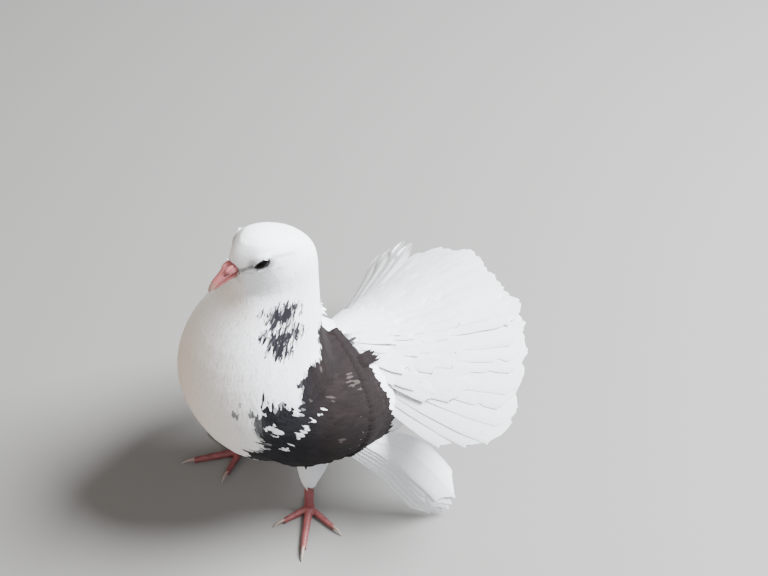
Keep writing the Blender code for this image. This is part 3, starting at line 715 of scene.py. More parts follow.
def plumage_colour(point):
    """Colour of the plumage at a bird place."""
    forward, left, up = (float(value) for value in point)
    where = Vector((forward, left, up))
    colour = white_plumage(forward, left, up)
    lateral = abs(left - BODY_MIDDLE)
    inner = 6 + 24 * step_between(106.0, 94.0, up) * step_between(-12.0, -28.0, forward)
    top = 133.0 if left > BODY_MIDDLE else 121.0
    if lateral > inner and up < top + 3:
        edge = min(in_outline(SHIELD_OUTLINE, forward, up), top - up)
        ragged = noise.noise(where * 0.22) * 2.0 + noise.noise(where * 0.7 + Vector((9, 0, 0))) * 1.6
        hair = noise.noise(Vector((forward * 0.8 + up * 0.4, left * 0.2, up * 0.1 + 30)))
        ragged += 14.0 * max(0.0, hair) * step_between(4.0, 12.0, forward) * step_between(98.0, 104.0, up)
        dark = step_between(-0.5, 0.5, edge + ragged)
        if dark > 0:
            colour = mixed(colour, dark_wing(forward, left, up, where), dark)
    if lateral > 5 and 126 < up < 156 and left > 0:
        near = min(math.hypot((forward - f) / a, (up - u) / b) for f, u, a, b in NECK_LOBES)
        streak = noise.noise(Vector((forward * 0.85 + up * 0.45, left * 0.25, up * 0.11)))
        grain = noise.noise(where * 1.8 + Vector((0, 0, 40)))
        depth = step_between(-0.4, 0.4, 1.05 + 1.1 * streak + 1.9 * grain - near**2) * (near < 1.25)
        ink = SLATE * (1.0 + 3.5 * max(0.0, noise.noise(where * 1.1)))
        colour = mixed(colour, ink, depth)
    if up > 150 and lateral > 1.5:
        ahead, _, rise = in_head(point)[0]
        for (ax, ay), (bx, by), width, kept in FACE_FOLDS:
            depth = step_between(1.6, 0.5, segment_distance(ahead, rise, ax, ay, bx, by) / width)
            colour = colour * (1 - depth * (1 - kept))
        # Painted shade round the rim of the eye.
        colour = colour * (1 - 0.4 * step_between(1.45, 1.05, float(eye_distance(point)[0])))
    return colour


# Coat


COAT_FINENESS = 0.84


def spacing(points):
    """Distance between feathers at bird places, in millimetres."""
    points = np.asarray(points, float).reshape(-1, 3)
    from_bill = np.linalg.norm(points - from_head(BILL_BASE), axis=1)
    up = points[:, 2]
    gap = 0.72 + 0.3 * smoothstep(4.0, 22.0, from_bill)
    gap += 0.22 * smoothstep(165.0, 145.0, up) + 0.32 * smoothstep(135.0, 105.0, up)
    gap += 0.35 * smoothstep(10.0, -20.0, points[:, 0]) * smoothstep(125.0, 100.0, up)
    gap -= 0.2 * smoothstep(120.0, 130.0, up) * smoothstep(162.0, 152.0, up)
    return gap * COAT_FINENESS


VANE_STATIONS = ((0.0, 0.4), (0.3, 0.85), (0.6, 1.0), (0.85, 0.78), (1.0, 0.3))
ROWS = len(VANE_STATIONS)


def skin_samples(skin, rng):
    """Candidate roots spread evenly over the skin, as bird places."""
    mesh = skin.data
    mesh.calc_loop_triangles()
    corners = fetch(mesh.loop_triangles, "vertices", 3)
    points = to_bird(mesh_points(mesh))
    one, two, three = (points[corners[:, k]] for k in range(3))
    area = np.linalg.norm(np.cross(two - one, three - one), axis=1) / 2
    chance = area / spacing((one + two + three) / 3) ** 2
    total = int(chance.sum() * 5.0)
    pick = rng.choice(len(area), total, p=chance / chance.sum())
    u, v = rng.random(total), rng.random(total)
    flip = u + v > 1
    u[flip], v[flip] = 1 - u[flip], 1 - v[flip]
    return one[pick] + (two - one)[pick] * u[:, None] + (three - one)[pick] * v[:, None]


def spread(places):
    """Thins candidates so that no two are closer than the spacing there."""
    tree = search_tree(places)
    gaps = spacing(places)
    alive = np.ones(len(places), bool)
    kept = []
    for index, place in enumerate(places):
        if alive[index]:
            kept.append(index)
            for _, other, _ in tree.find_range(place, gaps[index]):
                alive[other] = False
    return places[kept]


def bird_tree(skin):
    """Search tree of the skin in bird places."""
    points = [Vector(point) for point in to_bird(mesh_points(skin.data))]
    return BVHTree.FromPolygons(points, [tuple(polygon.vertices) for polygon in skin.data.polygons])


def nearest(tree, places):
    found = [tree.find_nearest(Vector(place)) for place in places]
    return np.array([row[0] for row in found]), np.array([row[1] for row in found])


def eye_distance(places):
    """Distance from the middle of an eye's opening, 1 at its rim."""
    head = in_head(places)
    along, rise = rotated(head[:, 0], head[:, 2], -EYE_LEAN)
    return np.hypot(along / LID_RADII[0], rise / LID_RADII[1]) + 9.0 * (np.abs(head[:, 1]) < 4)


def feathered(places):
    """Which places carry feathers: not the eyes, the bill's base, the wings' rear rims or the shanks."""
    head = in_head(places)
    bill = (np.hypot(head[:, 1] / 3.6, (head[:, 2] + 2.7) / 4.0) < 1) & (head[:, 0] > 8)
    lateral = np.abs(places[:, 1] - BODY_MIDDLE)
    rim = (places[:, 0] < -36) & (lateral > 24) & (places[:, 2] > 50) & (places[:, 2] < 104)
    return ~((eye_distance(places) < 1.08) | bill | rim | (places[:, 2] < 25.5))


def clear_of_eye(places, ways, lengths):
    """Lengths cut where feathers would lie over an eye, and which are still long enough to keep."""
    root, tip = eye_distance(places), eye_distance(places + ways * lengths[:, None])
    room = (root - 0.98) / np.maximum(root - tip, 1e-6)
    share = np.where(tip < 0.98, np.clip(room, 0.0, 1.0), 1.0)
    return lengths * np.maximum(share, 0.4), share > 0.4


REGIONS = (
    "head", "neck", "breast_left", "breast_right", "body_left", "body_right", "wing_left", "wing_right",
)


def regions_of(places, wing, sides):
    """Index of the coat piece that each root belongs to."""
    left = places[:, 1] > BODY_MIDDLE
    region = np.where(left, 4, 5)
    region = np.where(places[:, 0] > 12, np.where(left, 2, 3), region)
    region = np.where(places[:, 2] > 132, 1, region)
    region = np.where(places[:, 2] > 160, 0, region)
    return np.where(wing > 0.5, np.where(sides > 0, 6, 7), region)


def lay_coat(skin, material):
    rng = np.random.default_rng(SEED)
    tree = bird_tree(skin)
    places = spread(skin_samples(skin, rng))
    places = places[feathered(places)]
    _, normals = nearest(tree, places)
    wing, runs, sides = on_wing(places)
    count = len(places)
    ways = flow(places, normals, wing, runs)
    ways = unit(ways + np.cross(normals, ways) * rng.normal(0, 0.1, count)[:, None])
    gaps = spacing(places)
    face = smoothstep(158.0, 172.0, places[:, 2])
    lengths = gaps * (4.6 - 1.1 * face + 0.6 * wing) * rng.uniform(0.85, 1.15, count)
    neck = smoothstep(122.0, 132.0, places[:, 2]) * smoothstep(164.0, 152.0, places[:, 2])
    rump = smoothstep(-30.0, -45.0, places[:, 0]) * (1 - wing) * smoothstep(26.0, 18.0, np.abs(places[:, 1]))
    nape = smoothstep(-11.0, -15.0, places[:, 0]) * neck
    lengths *= (1 + 0.35 * neck + 0.5 * rump) * (1 - 1.8 * wing * (1 - wing)) * (1 - 0.5 * nape)
    lengths, kept = clear_of_eye(places, ways, lengths)
    halves = gaps * (0.8 - 0.1 * face - 0.16 * neck) * rng.uniform(0.88, 1.12, count)
    lifts = (0.06 + 0.08 * gaps) * rng.uniform(0.6, 1.4, count) * (1 - 0.3 * face)
    tints = np.array([plumage_colour(point) for point in places + ways * (0.45 * lengths)[:, None]])
    tints *= rng.uniform(0.982, 1.01, count)[:, None]
    region = regions_of(places, wing, sides)
    charts = chart_of(places)
    vanes = lay_vanes(tree, places, normals, ways, lengths, halves, lifts)
    for index, name in enumerate(REGIONS):
        pick = (region == index) & kept
        if not pick.any():
            continue
        piece = coat_object("coat_" + name, [part[pick] for part in vanes], tints[pick], lengths[pick],
                            halves[pick], charts[pick], material)
        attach(piece, "root")


def lay_vanes(tree, places, normals, ways, lengths, halves, lifts):
    """Points and normals of every feather: it follows the skin from its root and rises off it to its tip."""
    spots = places - ways * (0.12 * lengths)[:, None]
    normals, ways = normals.copy(), ways.copy()
    last = 0.0
    points, facings = [], []
    for share, wide in VANE_STATIONS:
        spots = spots + ways * ((share - last) * lengths)[:, None]
        last = share
        near, facing = nearest(tree, spots)
        hold = (facing * normals).sum(1) > 0.72
        spots[hold], normals[hold] = near[hold], facing[hold]
        ways = unit(ways - normals * (ways * normals).sum(1, keepdims=True))
        asides = np.cross(normals, ways)
        centre = spots + normals * (-0.1 + lifts * share**0.8)[:, None]
        edge = asides * (halves * wide)[:, None]
        crown = normals * (0.1 * halves * wide + 0.04)[:, None]
        points.append(np.stack((centre - edge, centre + crown, centre + edge), axis=1))
        lean = normals - 0.1 * share * ways
        facings.append(np.stack((unit(lean - 0.14 * asides), unit(lean), unit(lean + 0.14 * asides)), axis=1))
    return np.stack(points, axis=1), np.stack(facings, axis=1)


def vane_faces(count):
    """Faces of closed vanes with three points in each row: two strips above, and one below."""
    faces = []
    for a in range(0, 3 * (ROWS - 1), 3):
        faces += [(a, a + 3, a + 4, a + 1), (a + 1, a + 4, a + 5, a + 2), (a + 2, a + 5, a + 3, a)]
    last = (ROWS - 1) * 3
    step = (np.arange(count) * ROWS * 3)[:, None, None]
    quads = np.array(faces)[None] + step
    caps = np.array([(0, 1, 2), (last + 2, last + 1, last)])[None] + step
    return quads.reshape(-1, 4), caps.reshape(-1, 3)


def coat_object(name, vanes, tints, lengths, halves, charts, material):
    points, facings = vanes
    count = len(points)
    quads, caps = vane_faces(count)
    mesh = bpy.data.meshes.new(name)
    mesh.vertices.add(count * ROWS * 3)
    mesh.vertices.foreach_set("co", to_scene(points).ravel().astype(np.float32))
    corners = np.concatenate((quads.ravel(), caps.ravel())).astype(np.int32)
    mesh.loops.add(len(corners))
    mesh.loops.foreach_set("vertex_index", corners)
    starts = np.concatenate((np.arange(len(quads)) * 4, len(quads) * 4 + np.arange(len(caps)) * 3))
    mesh.polygons.add(len(starts))
    mesh.polygons.foreach_set("loop_start", starts.astype(np.int32))
    mesh.update(calc_edges=True)
    mesh.shade_smooth()
    mark_rims(mesh)
    under = np.concatenate((np.tile(np.repeat((1, 1, -1), 4), count * (ROWS - 1)), np.full(caps.size, -1)))
    mesh.normals_split_custom_set(turned(facings).reshape(-1, 3)[corners] * under[:, None])
    share = np.array([row[0] for row in VANE_STATIONS])
    wide = np.array([row[1] for row in VANE_STATIONS])
    shade = 0.9 + 0.1 * np.minimum(1.0, share * 2.2)
    colours = tints[:, None, None, :] * shade[None, :, None, None] + np.zeros((count, ROWS, 3, 3))
    set_colours(mesh, colours.reshape(-1, 3))
    aside = np.array((-1, 0, 1))[None, None] * wide[None, :, None] + np.zeros((count, ROWS, 3))
    along = share[None, :, None] + np.zeros((count, ROWS, 3))
    bake = charts[:, None, None] + np.stack((0.0014 * aside, 0.0028 * along), axis=-1)
    set_uv(mesh, "OFBake", bake.reshape(-1, 2))
    vane = np.stack((aside * halves[:, None, None], along * lengths[:, None, None]), axis=-1)
    set_uv(mesh, "Vane", vane.reshape(-1, 2))
    mesh.materials.append(material)
    mesh.calc_loop_triangles()
    return link_object(name, mesh)


def mark_rims(mesh):
    """Marks the rims of vanes as sharp, so that their two sides are shaded apart."""
    inside = fetch(mesh.edges, "vertices", 2) % (3 * ROWS)
    row, column = inside // 3, inside % 3
    end = (row[:, 0] == row[:, 1]) & ((row[:, 0] == 0) | (row[:, 0] == ROWS - 1))
    sharp = mesh.attributes.new("sharp_edge", "BOOLEAN", "EDGE")
    sharp.data.foreach_set("value", (column != 1).all(1) | end)


# Flight feathers


FLIGHT_SHARES = (-1, -0.8, -0.55, -0.3, -0.1, 0, 0.1, 0.3, 0.55, 0.8, 1)
RECTRIX = dict(
    rows=30, profile=((0, 0.12, 0.35, 0.62, 0.86, 0.96, 1.0), (0.16, 0.34, 0.66, 0.92, 1.0, 0.9, 0.72)),
    notches=1.6, slant=0.5, fray=0.4, round=0.34, bend=0.0, rachis=0.25, curl=0.0, cup=-0.5, ripple=0.1,
    sink=0.0, fall=0.0,
)
PRIMARY = dict(
    RECTRIX, rows=26, profile=((0, 0.2, 0.5, 0.8, 0.92, 0.98, 1.0), (0.4, 0.8, 1.0, 0.94, 0.72, 0.4, 0.15)),
    fray=0.2, round=0.7, notches=1.2, slant=0.7, cup=-0.4, rachis=0.35,
)
SECONDARY = dict(PRIMARY, rows=18, notches=1.6)
COVER = dict(
    SECONDARY, rows=12, profile=((0.0, 0.5, 0.85, 0.95, 1.0), (1.0, 1.0, 0.86, 0.66, 0.4)),
    round=0.6, fray=0.3, notches=0.6, slant=0.6, cup=0.0, sink=2.2, rachis=0.12,
)


def surface_size(surface, along, across):
    """Millimetres for each unit of across at places on a surface."""
    step = 1e-3
    across = np.zeros_like(along) + across
    flat = np.zeros_like(along)
    ends = surface(along, across + step, flat) - surface(along, across - step, flat)
    return np.linalg.norm(ends, axis=-1) / (2 * step)


def notches(v, count, rng):
    """Width left where the barbs of a vane have parted, from 1 down to about a half."""
    width = np.ones_like(v)
    for _ in range(rng.poisson(count)):
        start, depth, length = rng.uniform(0.3, 0.97), rng.uniform(0.06, 0.28), rng.uniform(0.015, 0.05)
        width -= depth * np.clip(1 - np.abs(v - start) / length, 0, 1)
    return np.clip(width, 0.4, 1)


def big_vane(surface, root, tip, across, half_width, lift, tilt, thickness, look, rng):
    """A flight feather as a closed vane on surface(along, across, lift), its rows slanting as barbs do."""
    v = np.linspace(0, 1, look["rows"]) ** 0.92
    profile = np.interp(v, *look["profile"])
    right_notch, left_notch = notches(v, look["notches"], rng), notches(v, look["notches"], rng)
    ends = surface(np.array((root, tip)), np.array((across, across)), np.zeros(2))
    run = np.linalg.norm(ends[1] - ends[0]) / abs(tip - root)
    vv, ss = np.meshgrid(v, np.array(FLIGHT_SHARES), indexing="ij")
    wide = np.where(ss < 0, (profile * right_notch)[:, None], (profile * left_notch)[:, None])
    offset = ss * half_width * wide
    slant = look["slant"] * np.abs(offset) * (1 - smoothstep(0.72, 1.0, vv)) * smoothstep(0.0, 0.12, vv)
    fray = rng.normal(0, look["fray"], len(FLIGHT_SHARES))[None] * smoothstep(0.9, 1.0, vv)
    round_tip = -look["round"] * half_width * ss**2 * smoothstep(0.8, 1.0, vv)
    distance = vv * (tip - root) * run + slant + fray + round_tip
    along = root + distance / run
    size = surface_size(surface, along, across)
    angle = across + (offset + look["bend"] * vv**2) / size
    rachis = look["rachis"] * (1 - 0.85 * vv) * np.exp(-((offset / 0.55) ** 2))
    curl = look["curl"] * vv**3 + look["cup"] * ss**2 * profile[:, None]
    curl -= look["sink"] * smoothstep(0.45, 0.0, vv)
    wave = look["ripple"] * np.sin(vv * rng.uniform(5, 9) + ss * rng.uniform(1, 3) + rng.uniform(0, TAU))
    height = lift - look["fall"] * vv + tilt * offset / size + curl + wave * vv
    thick = thickness * (1 - 0.6 * np.abs(ss)) * (1 - 0.5 * vv)
    top = surface(along, angle, height + thick / 2 + rachis)
    low = surface(along, angle, height - thick / 2 - 0.5 * rachis)
    return top, low, vv, offset, distance


class Plumes:
    """Flight feathers of one piece, joined into one mesh."""

    def __init__(self, surface, seed):
        self.surface = surface
        self.rng = np.random.default_rng(seed)
        self.points, self.faces, self.colours, self.vane, self.bake = [], [], [], [], []
        self.total = 0

    def add(self, root, tip, across, half_width, lift, tilt, look, colour, chart, thickness=0.28):
        top, low, vv, offset, distance = big_vane(
            self.surface, root, tip, across, half_width, lift, tilt, thickness, look, self.rng)
        rows, columns = vv.shape
        self.points += [top.reshape(-1, 3), low.reshape(-1, 3)]
        self.faces += [tuple(index + self.total for index in face) for face in sheet_faces(rows, columns)]
        self.total += 2 * rows * columns
        shade = colour(vv, offset, self.rng)
        self.colours += [shade.reshape(-1, 3), shade.reshape(-1, 3) * 0.95]
        vane = np.stack((offset, distance), axis=-1).reshape(-1, 2)
        self.vane += [vane, vane]
        spot = np.stack((chart[0] + 0.012 * offset / half_width, chart[1] + 0.03 * vv), axis=-1)
        self.bake += [spot.reshape(-1, 2), spot.reshape(-1, 2) + (0.0, 0.034)]

    def finish(self, name, material, slot, *replaced):
        piece = mesh_object(name, to_scene(np.concatenate(self.points)), self.faces, material)
        mesh = piece.data
        set_colours(mesh, np.concatenate(self.colours))
        set_uv(mesh, "OFBake", np.concatenate(self.bake))
        set_uv(mesh, "Vane", np.concatenate(self.vane))
        face_out(mesh)
        mesh.set_sharp_from_angle(angle=math.radians(50))
        if replaced:
            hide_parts(*replaced)
        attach(piece, "root")


def edge_shadow_share(offset, start):
    """Weight of the painted shadow along a vane's edges: 0 inside it and 1 at its edges, from a share of its
    half width on.
    """
    return smoothstep(start, 1.0, np.abs(offset) / np.abs(offset).max())


def white_vane(vv, offset, rng):
    """White, with a faint quill, soft grey towards the root and painted shadow along its edges."""
    streak = 1 - 0.06 * np.exp(-((offset / 0.5) ** 2)) - 0.05 * smoothstep(0.5, 0.0, vv)
    streak -= 0.1 * edge_shadow_share(offset, 0.7)
    return streak[..., None] * WHITE * rng.uniform(0.97, 1.01)


def tail_vane(vv, offset, rng):
    """White, a little greyer all over, with more painted shadow along its edges."""
    return white_vane(vv, offset, rng) * (0.94 - 0.07 * edge_shadow_share(offset, 0.84)[..., None])


def edge_shadowed_vane(vv, offset, rng):
    """White, with painted shadow along its edges."""
    rim = edge_shadow_share(offset, 0.78) * smoothstep(0.1, 0.4, vv)
    return white_vane(vv, offset, rng) * (1 - 0.22 * rim[..., None])


def brown_vane(vv, offset, rng):
    """Dark brown, paler where it is worn at the tip."""
    shade = np.ones(vv.shape + (3,)) * BROWN * rng.uniform(0.92, 1.12)
    wear = 0.12 * smoothstep(0.8, 1.0, vv) * rng.uniform(0.0, 1.0)
    return mixed(shade, FLECK, wear[..., None])


TAIL_FEATHERS = 17
TAIL_EDGE = math.radians(46.5)
TAIL_RIGHT_EDGE = math.radians(32.0)
TAIL_ROOT = 34.0
TAIL_SLOPE = 0.75
COVERT_EDGE = 0.97 * TAIL_EDGE
# Number of the feather that lies over all others.
TOP_FEATHER = 7
# The parted feathers of its edges: angle, reach, half width and upward curl.
PARTED_FEATHERS = [
    (55.0, 84.0, 8.5, 0.0), (51.0, 98.0, 9.0, 0.0), (-55.0, 119.0, 5.5, 7.0), (-51.0, 116.0, 5.5, 7.0),
    (-46.0, 118.0, 6.2, 8.0), (-42.0, 112.0, 6.0, 6.0), (-36.0, 103.0, 8.0, 2.5),
]
# Rows of tail coverts, above and below: how many, root, reach, half width, lift, fall and slope.
TAIL_COVERTS = [
    (17, 29.0, 80.0, 8.0, 1.6, 0.4, 0.5), (17, 27.0, 66.0, 7.0, 3.4, 1.6, 0.5),
    (15, 24.0, 57.0, 6.5, 5.4, 3.0, 0.5), (13, 20.0, 50.0, 6.5, 7.8, 4.6, 0.5),
    (11, 16.0, 43.0, 7.0, 10.0, 5.6, 0.5), (11, 29.0, 74.0, 9.0, -2.6, 0.0, -0.6),
    (9, 29.0, 58.0, 9.0, -4.0, 0.0, -0.6),
]


def make_tail(material):
    plumes = Plumes(fan_point, SEED + 1)
    rng = plumes.rng
    pitch = (TAIL_EDGE + TAIL_RIGHT_EDGE) / (TAIL_FEATHERS - 1)
    for index, (angle, reach, half_width, curl) in enumerate(PARTED_FEATHERS):
        look = dict(RECTRIX, curl=curl, round=0.7, fray=0.8, bend=rng.uniform(-1.0, 1.0))
        tilt = math.copysign(TAIL_SLOPE, angle) / pitch
        plumes.add(TAIL_ROOT, reach, math.radians(angle), half_width, 0.2 * (index % 2), tilt, look,
                   tail_vane, (0.72 + 0.035 * index, 0.1))
    for index in range(TAIL_FEATHERS):
        across = -TAIL_RIGHT_EDGE + pitch * (index + rng.uniform(-0.2, 0.2))
        reach = FAN_REACH * rng.uniform(0.975, 1.02)
        half_width = 13.5 * rng.uniform(0.94, 1.08)
        look = dict(RECTRIX, bend=rng.uniform(-1.5, 1.5), curl=rng.uniform(-0.3, 0.3))
        tilt = TAIL_SLOPE / pitch if index > TOP_FEATHER else -TAIL_SLOPE / pitch
        lift = 0.15 * (index % 2)
        if index == TOP_FEATHER:
            tilt, lift, look["cup"] = 0.0, 0.8, -1.2
        plumes.add(TAIL_ROOT, reach, across, half_width, lift, tilt, look, tail_vane,
                   (0.04 + 0.04 * index, 0.1))
    for row, (number, root, reach, half_width, lift, fall, slope) in enumerate(TAIL_COVERTS):
        gap = 2 * COVERT_EDGE / number
        for index in range(number):
            across = -COVERT_EDGE + gap * (index + 0.5 + rng.uniform(-0.2, 0.2))
            look = dict(RECTRIX, rows=16, bend=rng.uniform(-2, 2), curl=rng.uniform(-0.3, 0.3), fray=0.5,
                        round=0.6, slant=0.8, notches=1.0, fall=fall)
            lean = slope / gap * (1 if index > number / 2 else -1)
            plumes.add(root, reach * rng.uniform(0.92, 1.08), across, half_width * rng.uniform(0.85, 1.15),
                       lift, lean, look, tail_vane, (0.04 + 0.04 * index, 0.2 + 0.1 * row), 0.2)
    plumes.finish("tail_feathers", material, "plumage_white", "tail")


# Flight feathers of the hand, front to rear: across the patch, half width, lift and reach.
PRIMARIES = [
    (0.97, 6.0, 0.0, 0.977), (0.86, 6.5, 0.4, 0.985), (0.74, 7.0, 0.8, 0.99), (0.61, 7.5, 1.2, 0.985),
    (0.5, 8.5, 1.3, 0.965), (0.38, 9.5, 1.5, 0.94),
]
SECONDARIES = 13
# Rows of great coverts: how many, start and end along the shield, half width and lift.
COVER_ROWS = [(27, 0.72, 0.965, 3.1, -0.65), (27, 0.64, 0.9, 2.9, -0.5)]
# Loose feathers over the left shoulder: how many, their start, and the first one's place across.
LOOSE_FEATHERS = (7, 0.74, 0.185)


def make_wing(side, name, material):
    def hand(along, across, lift):
        return patch_point(HAND, side, along, across, lift)

    def shield(along, across, lift):
        return patch_point(SHIELD, side, along, across, lift)

    primaries = Plumes(hand, SEED + 2)
    for index, (across, half_width, lift, reach) in enumerate(PRIMARIES):
        look = dict(PRIMARY, bend=primaries.rng.uniform(-0.6, 0.6))
        primaries.add(0.0, reach, across, half_width, lift, 6.5, look, edge_shadowed_vane, (0.1 + 0.05 * index, 0.1))
    primaries.finish("primaries_" + name, material, "plumage_white", "wing_" + name)
    arm = Plumes(shield, SEED + 3)
    for index in range(SECONDARIES):
        across = 0.06 + 0.92 * index / (SECONDARIES - 1)
        reach = 1.1 + 0.07 * index / SECONDARIES + arm.rng.uniform(-0.01, 0.01)
        arm.add(0.62, reach, across, 5.6, -1.9, 9.0, SECONDARY, white_vane, (0.1 + 0.05 * index, 0.3))
    arm.finish("secondaries_" + name, material, "plumage_white")
    cover = Plumes(shield, SEED + 4)
    rng = cover.rng
    for row, (number, start, end, half_width, lift) in enumerate(COVER_ROWS):
        for index in range(number):
            across = 0.01 + (index + 0.5 + rng.uniform(-0.3, 0.3)) / number
            look = dict(COVER, curl=rng.uniform(-0.2, 0.2))
            cover.add(start, end + rng.uniform(-0.018, 0.018), across, half_width * rng.uniform(0.9, 1.2),
                      lift, 1.0, look, brown_vane, (0.03 + 0.035 * index, 0.5 + 0.1 * row), 0.12)
    number, start, first = LOOSE_FEATHERS
    for index in range(number if side > 0 else 0):
        look = dict(SECONDARY, rows=14, round=1.8, fray=0.4, notches=1.0, cup=-0.2, sink=2.4,
                    curl=rng.uniform(0.4, 1.2), bend=rng.uniform(0.5, 1.8))
        cover.add(start, rng.uniform(1.07, 1.16), first + 0.01 * index, rng.uniform(0.7, 1.1), 0.5, 0.0,
                  look, brown_vane, (0.03 + 0.045 * index, 0.75), 0.16)
    cover.finish("greater_coverts_" + name, material, "plumage_dark")


# Eyes and bill


def eye_places(side, forward, left, up):
    """Places by an eye: along its slit, out of the head, and across the slit."""
    along, rise = rotated(forward, up, -EYE_LEAN)
    ahead, out = rotated(along, left, -EYE_TURN)
    return from_head(
        np.stack((EYE_PLACE[0] + ahead, side * (EYE_PLACE[1] + out), EYE_PLACE[2] + rise), axis=-1))


def ball(radii, rings, sides, end):
    """Forward, left and up of a ball's rings, which stop a small angle short of its poles."""
    tilt, turn = np.meshgrid(
        np.linspace(end, math.pi - end, rings), np.arange(sides) * TAU / sides, indexing="ij")
    ahead, up = np.sin(tilt) * np.cos(turn), np.sin(tilt) * np.sin(turn)
    return radii[0] * ahead, radii[1] * np.cos(tilt), radii[2] * up


def make_eye(side, name, material):
    rings, sides = 18, 28
    points = to_scene(eye_places(side, *ball(EYE_RADII, rings, sides, 0.02)))
    eye = mesh_object("eyeball_" + name, points, loft_faces(rings, sides), material)
    face_out(eye.data)
    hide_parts("eye_" + name)
    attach(eye, "root")


def make_lids(side, name, material):
    """Rim of both lids: an almond ring, pointed in front and behind, that hugs the eyeball."""
    around, sides = 56, 12
    step, turn = np.meshgrid(
        np.arange(around) * TAU / around, np.arange(sides) * TAU / sides, indexing="ij")
    pinch = 1 - 0.22 * np.abs(np.cos(step)) ** 3
    thick = 0.62 * (1 - 0.3 * np.abs(np.cos(step)) ** 4) * (1 + 0.08 * np.sin(step * 14))
    forward = LID_RADII[0] * np.cos(step) + thick * np.cos(turn) * np.cos(step)
    up = (LID_RADII[1] * np.sin(step) + thick * np.cos(turn) * np.sin(step)) * pinch
    upper = np.clip(np.sin(step), 0, 1)
    up -= upper * (0.35 + 0.75 * np.clip(-np.cos(turn), 0, 1))
    left = LID_LIFT + 0.35 * upper - 0.35 * np.cos(step) ** 2 + thick * 0.8 * np.sin(turn)
    points = to_scene(eye_places(side, forward, left, up)).reshape(-1, 3)
    faces = []
    for one in range(around):
        two = (one + 1) % around
        for k in range(sides):
            after = (k + 1) % sides
            faces.append((one * sides + k, one * sides + after, two * sides + after, two * sides + k))
    lids = mesh_object("lids_" + name, points, faces, material)
    face_out(lids.data)
    outer = smoothstep(0.0, 0.8, np.cos(turn)).reshape(-1, 1)
    set_colours(lids.data, mixed(LID_DARK, WHITE * 0.62, outer))
    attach(lids, "root")


def bill_part(stations, steps):
    """A half of the bill as a smooth tube, in scene places, with its faces."""
    sides = 40
    rows = smooth_between(stations, np.linspace(0, len(stations) - 1, steps))
    turn = np.arange(sides) * TAU / sides
    cos, sin = np.cos(turn), np.sin(turn)
    middle, half = (rows[:, 1] + rows[:, 2]) / 2, (rows[:, 1] - rows[:, 2]) / 2
    left = rows[:, 3, None] * np.sign(sin) * np.abs(sin) ** 0.85
    up = middle[:, None] + half[:, None] * np.sign(cos) * np.abs(cos) ** 0.85
    points = np.stack((rows[:, 0, None] + 0 * left, left, up), axis=-1)
    return to_scene(from_head(points)).reshape(-1, 3), loft_faces(steps, sides)


def ball_part(place, radii):
    rings, sides = 10, 16
    points = np.stack(ball(radii, rings, sides, 0.05), axis=-1) + np.array(place)
    return to_scene(from_head(points)).reshape(-1, 3), loft_faces(rings, sides)


def bill_colour(point):
    """Salmon pink, paler at the cere and tip, with painted shade in the nostril slits."""
    forward, left, up = in_head(point)[0]
    colour = mixed(BILL_PINK, BILL_TIP, step_between(21.0, 27.0, forward))
    cere = step_between(1.25, 0.7, math.hypot((forward - 12.6) / 3.6, (up - 0.8) / 2.0))
    colour = mixed(colour, CERE_PINK, 0.5 * cere)
    nostril = math.hypot((forward - NOSTRIL_PLACE[0]) / 1.5, (up - NOSTRIL_PLACE[2]) / 0.5)
    # Painted shade in the nostril slit.
    if abs(left) > 1.2 and nostril < 1:
        colour = colour * 0.25
    return colour * (1 + 0.12 * noise.noise(Vector((forward * 0.6, left * 0.9, up * 0.9))))


def make_bill(material):
    upper = [bill_part(UPPER_BILL, 26)]
    upper += [ball_part((CERE_PLACE[0], side * CERE_PLACE[1], CERE_PLACE[2]), CERE_RADII) for side in (1, -1)]
    for name, parts in (("upper", upper), ("lower", [bill_part(LOWER_BILL, 20)])):
        piece = fused("bill_skin_" + name, parts, 0.28, 3)
        paint(piece, bill_colour, material)
        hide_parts("bill_" + name)
        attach(piece, "root")


# Legs


def toe_places(foot, turn, distance, across, up):
    """Scene places by a toe: along it, to its left, and up."""
    _, hand, forward, left, heading = foot
    ahead, aside = math.cos(heading + hand * turn), math.sin(heading + hand * turn)
    along = (forward + ahead * distance - aside * across, left + aside * distance + ahead * across)
    return to_scene(np.stack((*along, up), axis=-1)).reshape(-1, 3)


def toe_part(foot, toe):
    """A toe of overlapping scutes above and pads beneath, as scene places and faces."""
    _, turn, length, radius, _ = toe
    steps, sides = int(length / 0.4), 20
    distance = np.linspace(0, length, steps)[:, None]
    angle = ((np.arange(sides) + 0.5) * TAU / sides)[None]
    scutes = max(4, round(length / 2.1))
    tile = 0.32 * (1 - ((distance / length * scutes) % 1.0)) ** 1.5 * np.clip(np.cos(angle), 0, 1) ** 0.6
    pads = 0.22 * np.cos(distance / length * TAU * max(2, round(length / 7))) * np.clip(-np.cos(angle), 0, 1)
    size = radius * (1 - 0.3 * distance / length) - 0.1 + tile + pads
    across = 0.94 * size * np.sin(angle)
    up = np.maximum(0.0, radius * (1 - 0.3 * distance / length) * 0.82 + size * np.cos(angle))
    return toe_places(foot, turn, distance, across, up), loft_faces(steps, sides)


def shank_part(foot):
    _, _, forward, left, heading = foot
    steps, sides = 60, 24
    height = np.linspace(SHANK_BOTTOM, SHANK_TOP, steps)[:, None]
    share = (height - SHANK_BOTTOM) / (SHANK_TOP - SHANK_BOTTOM)
    angle = (np.arange(sides) * TAU / sides)[None]
    front = np.clip(np.cos(angle - heading), 0, 1) ** 0.6
    tile = 0.3 * ((height / 2.3) % 1.0) ** 1.5 * front
    ankle = 0.5 * np.exp(-((share / 0.16) ** 2))
    radius = SHANK_RADIUS - 0.1 + tile + ankle
    points = np.stack((
        forward - share + radius * np.cos(angle), left + radius * np.sin(angle), height + 0 * angle), axis=-1)
    return to_scene(points).reshape(-1, 3), loft_faces(steps, sides)


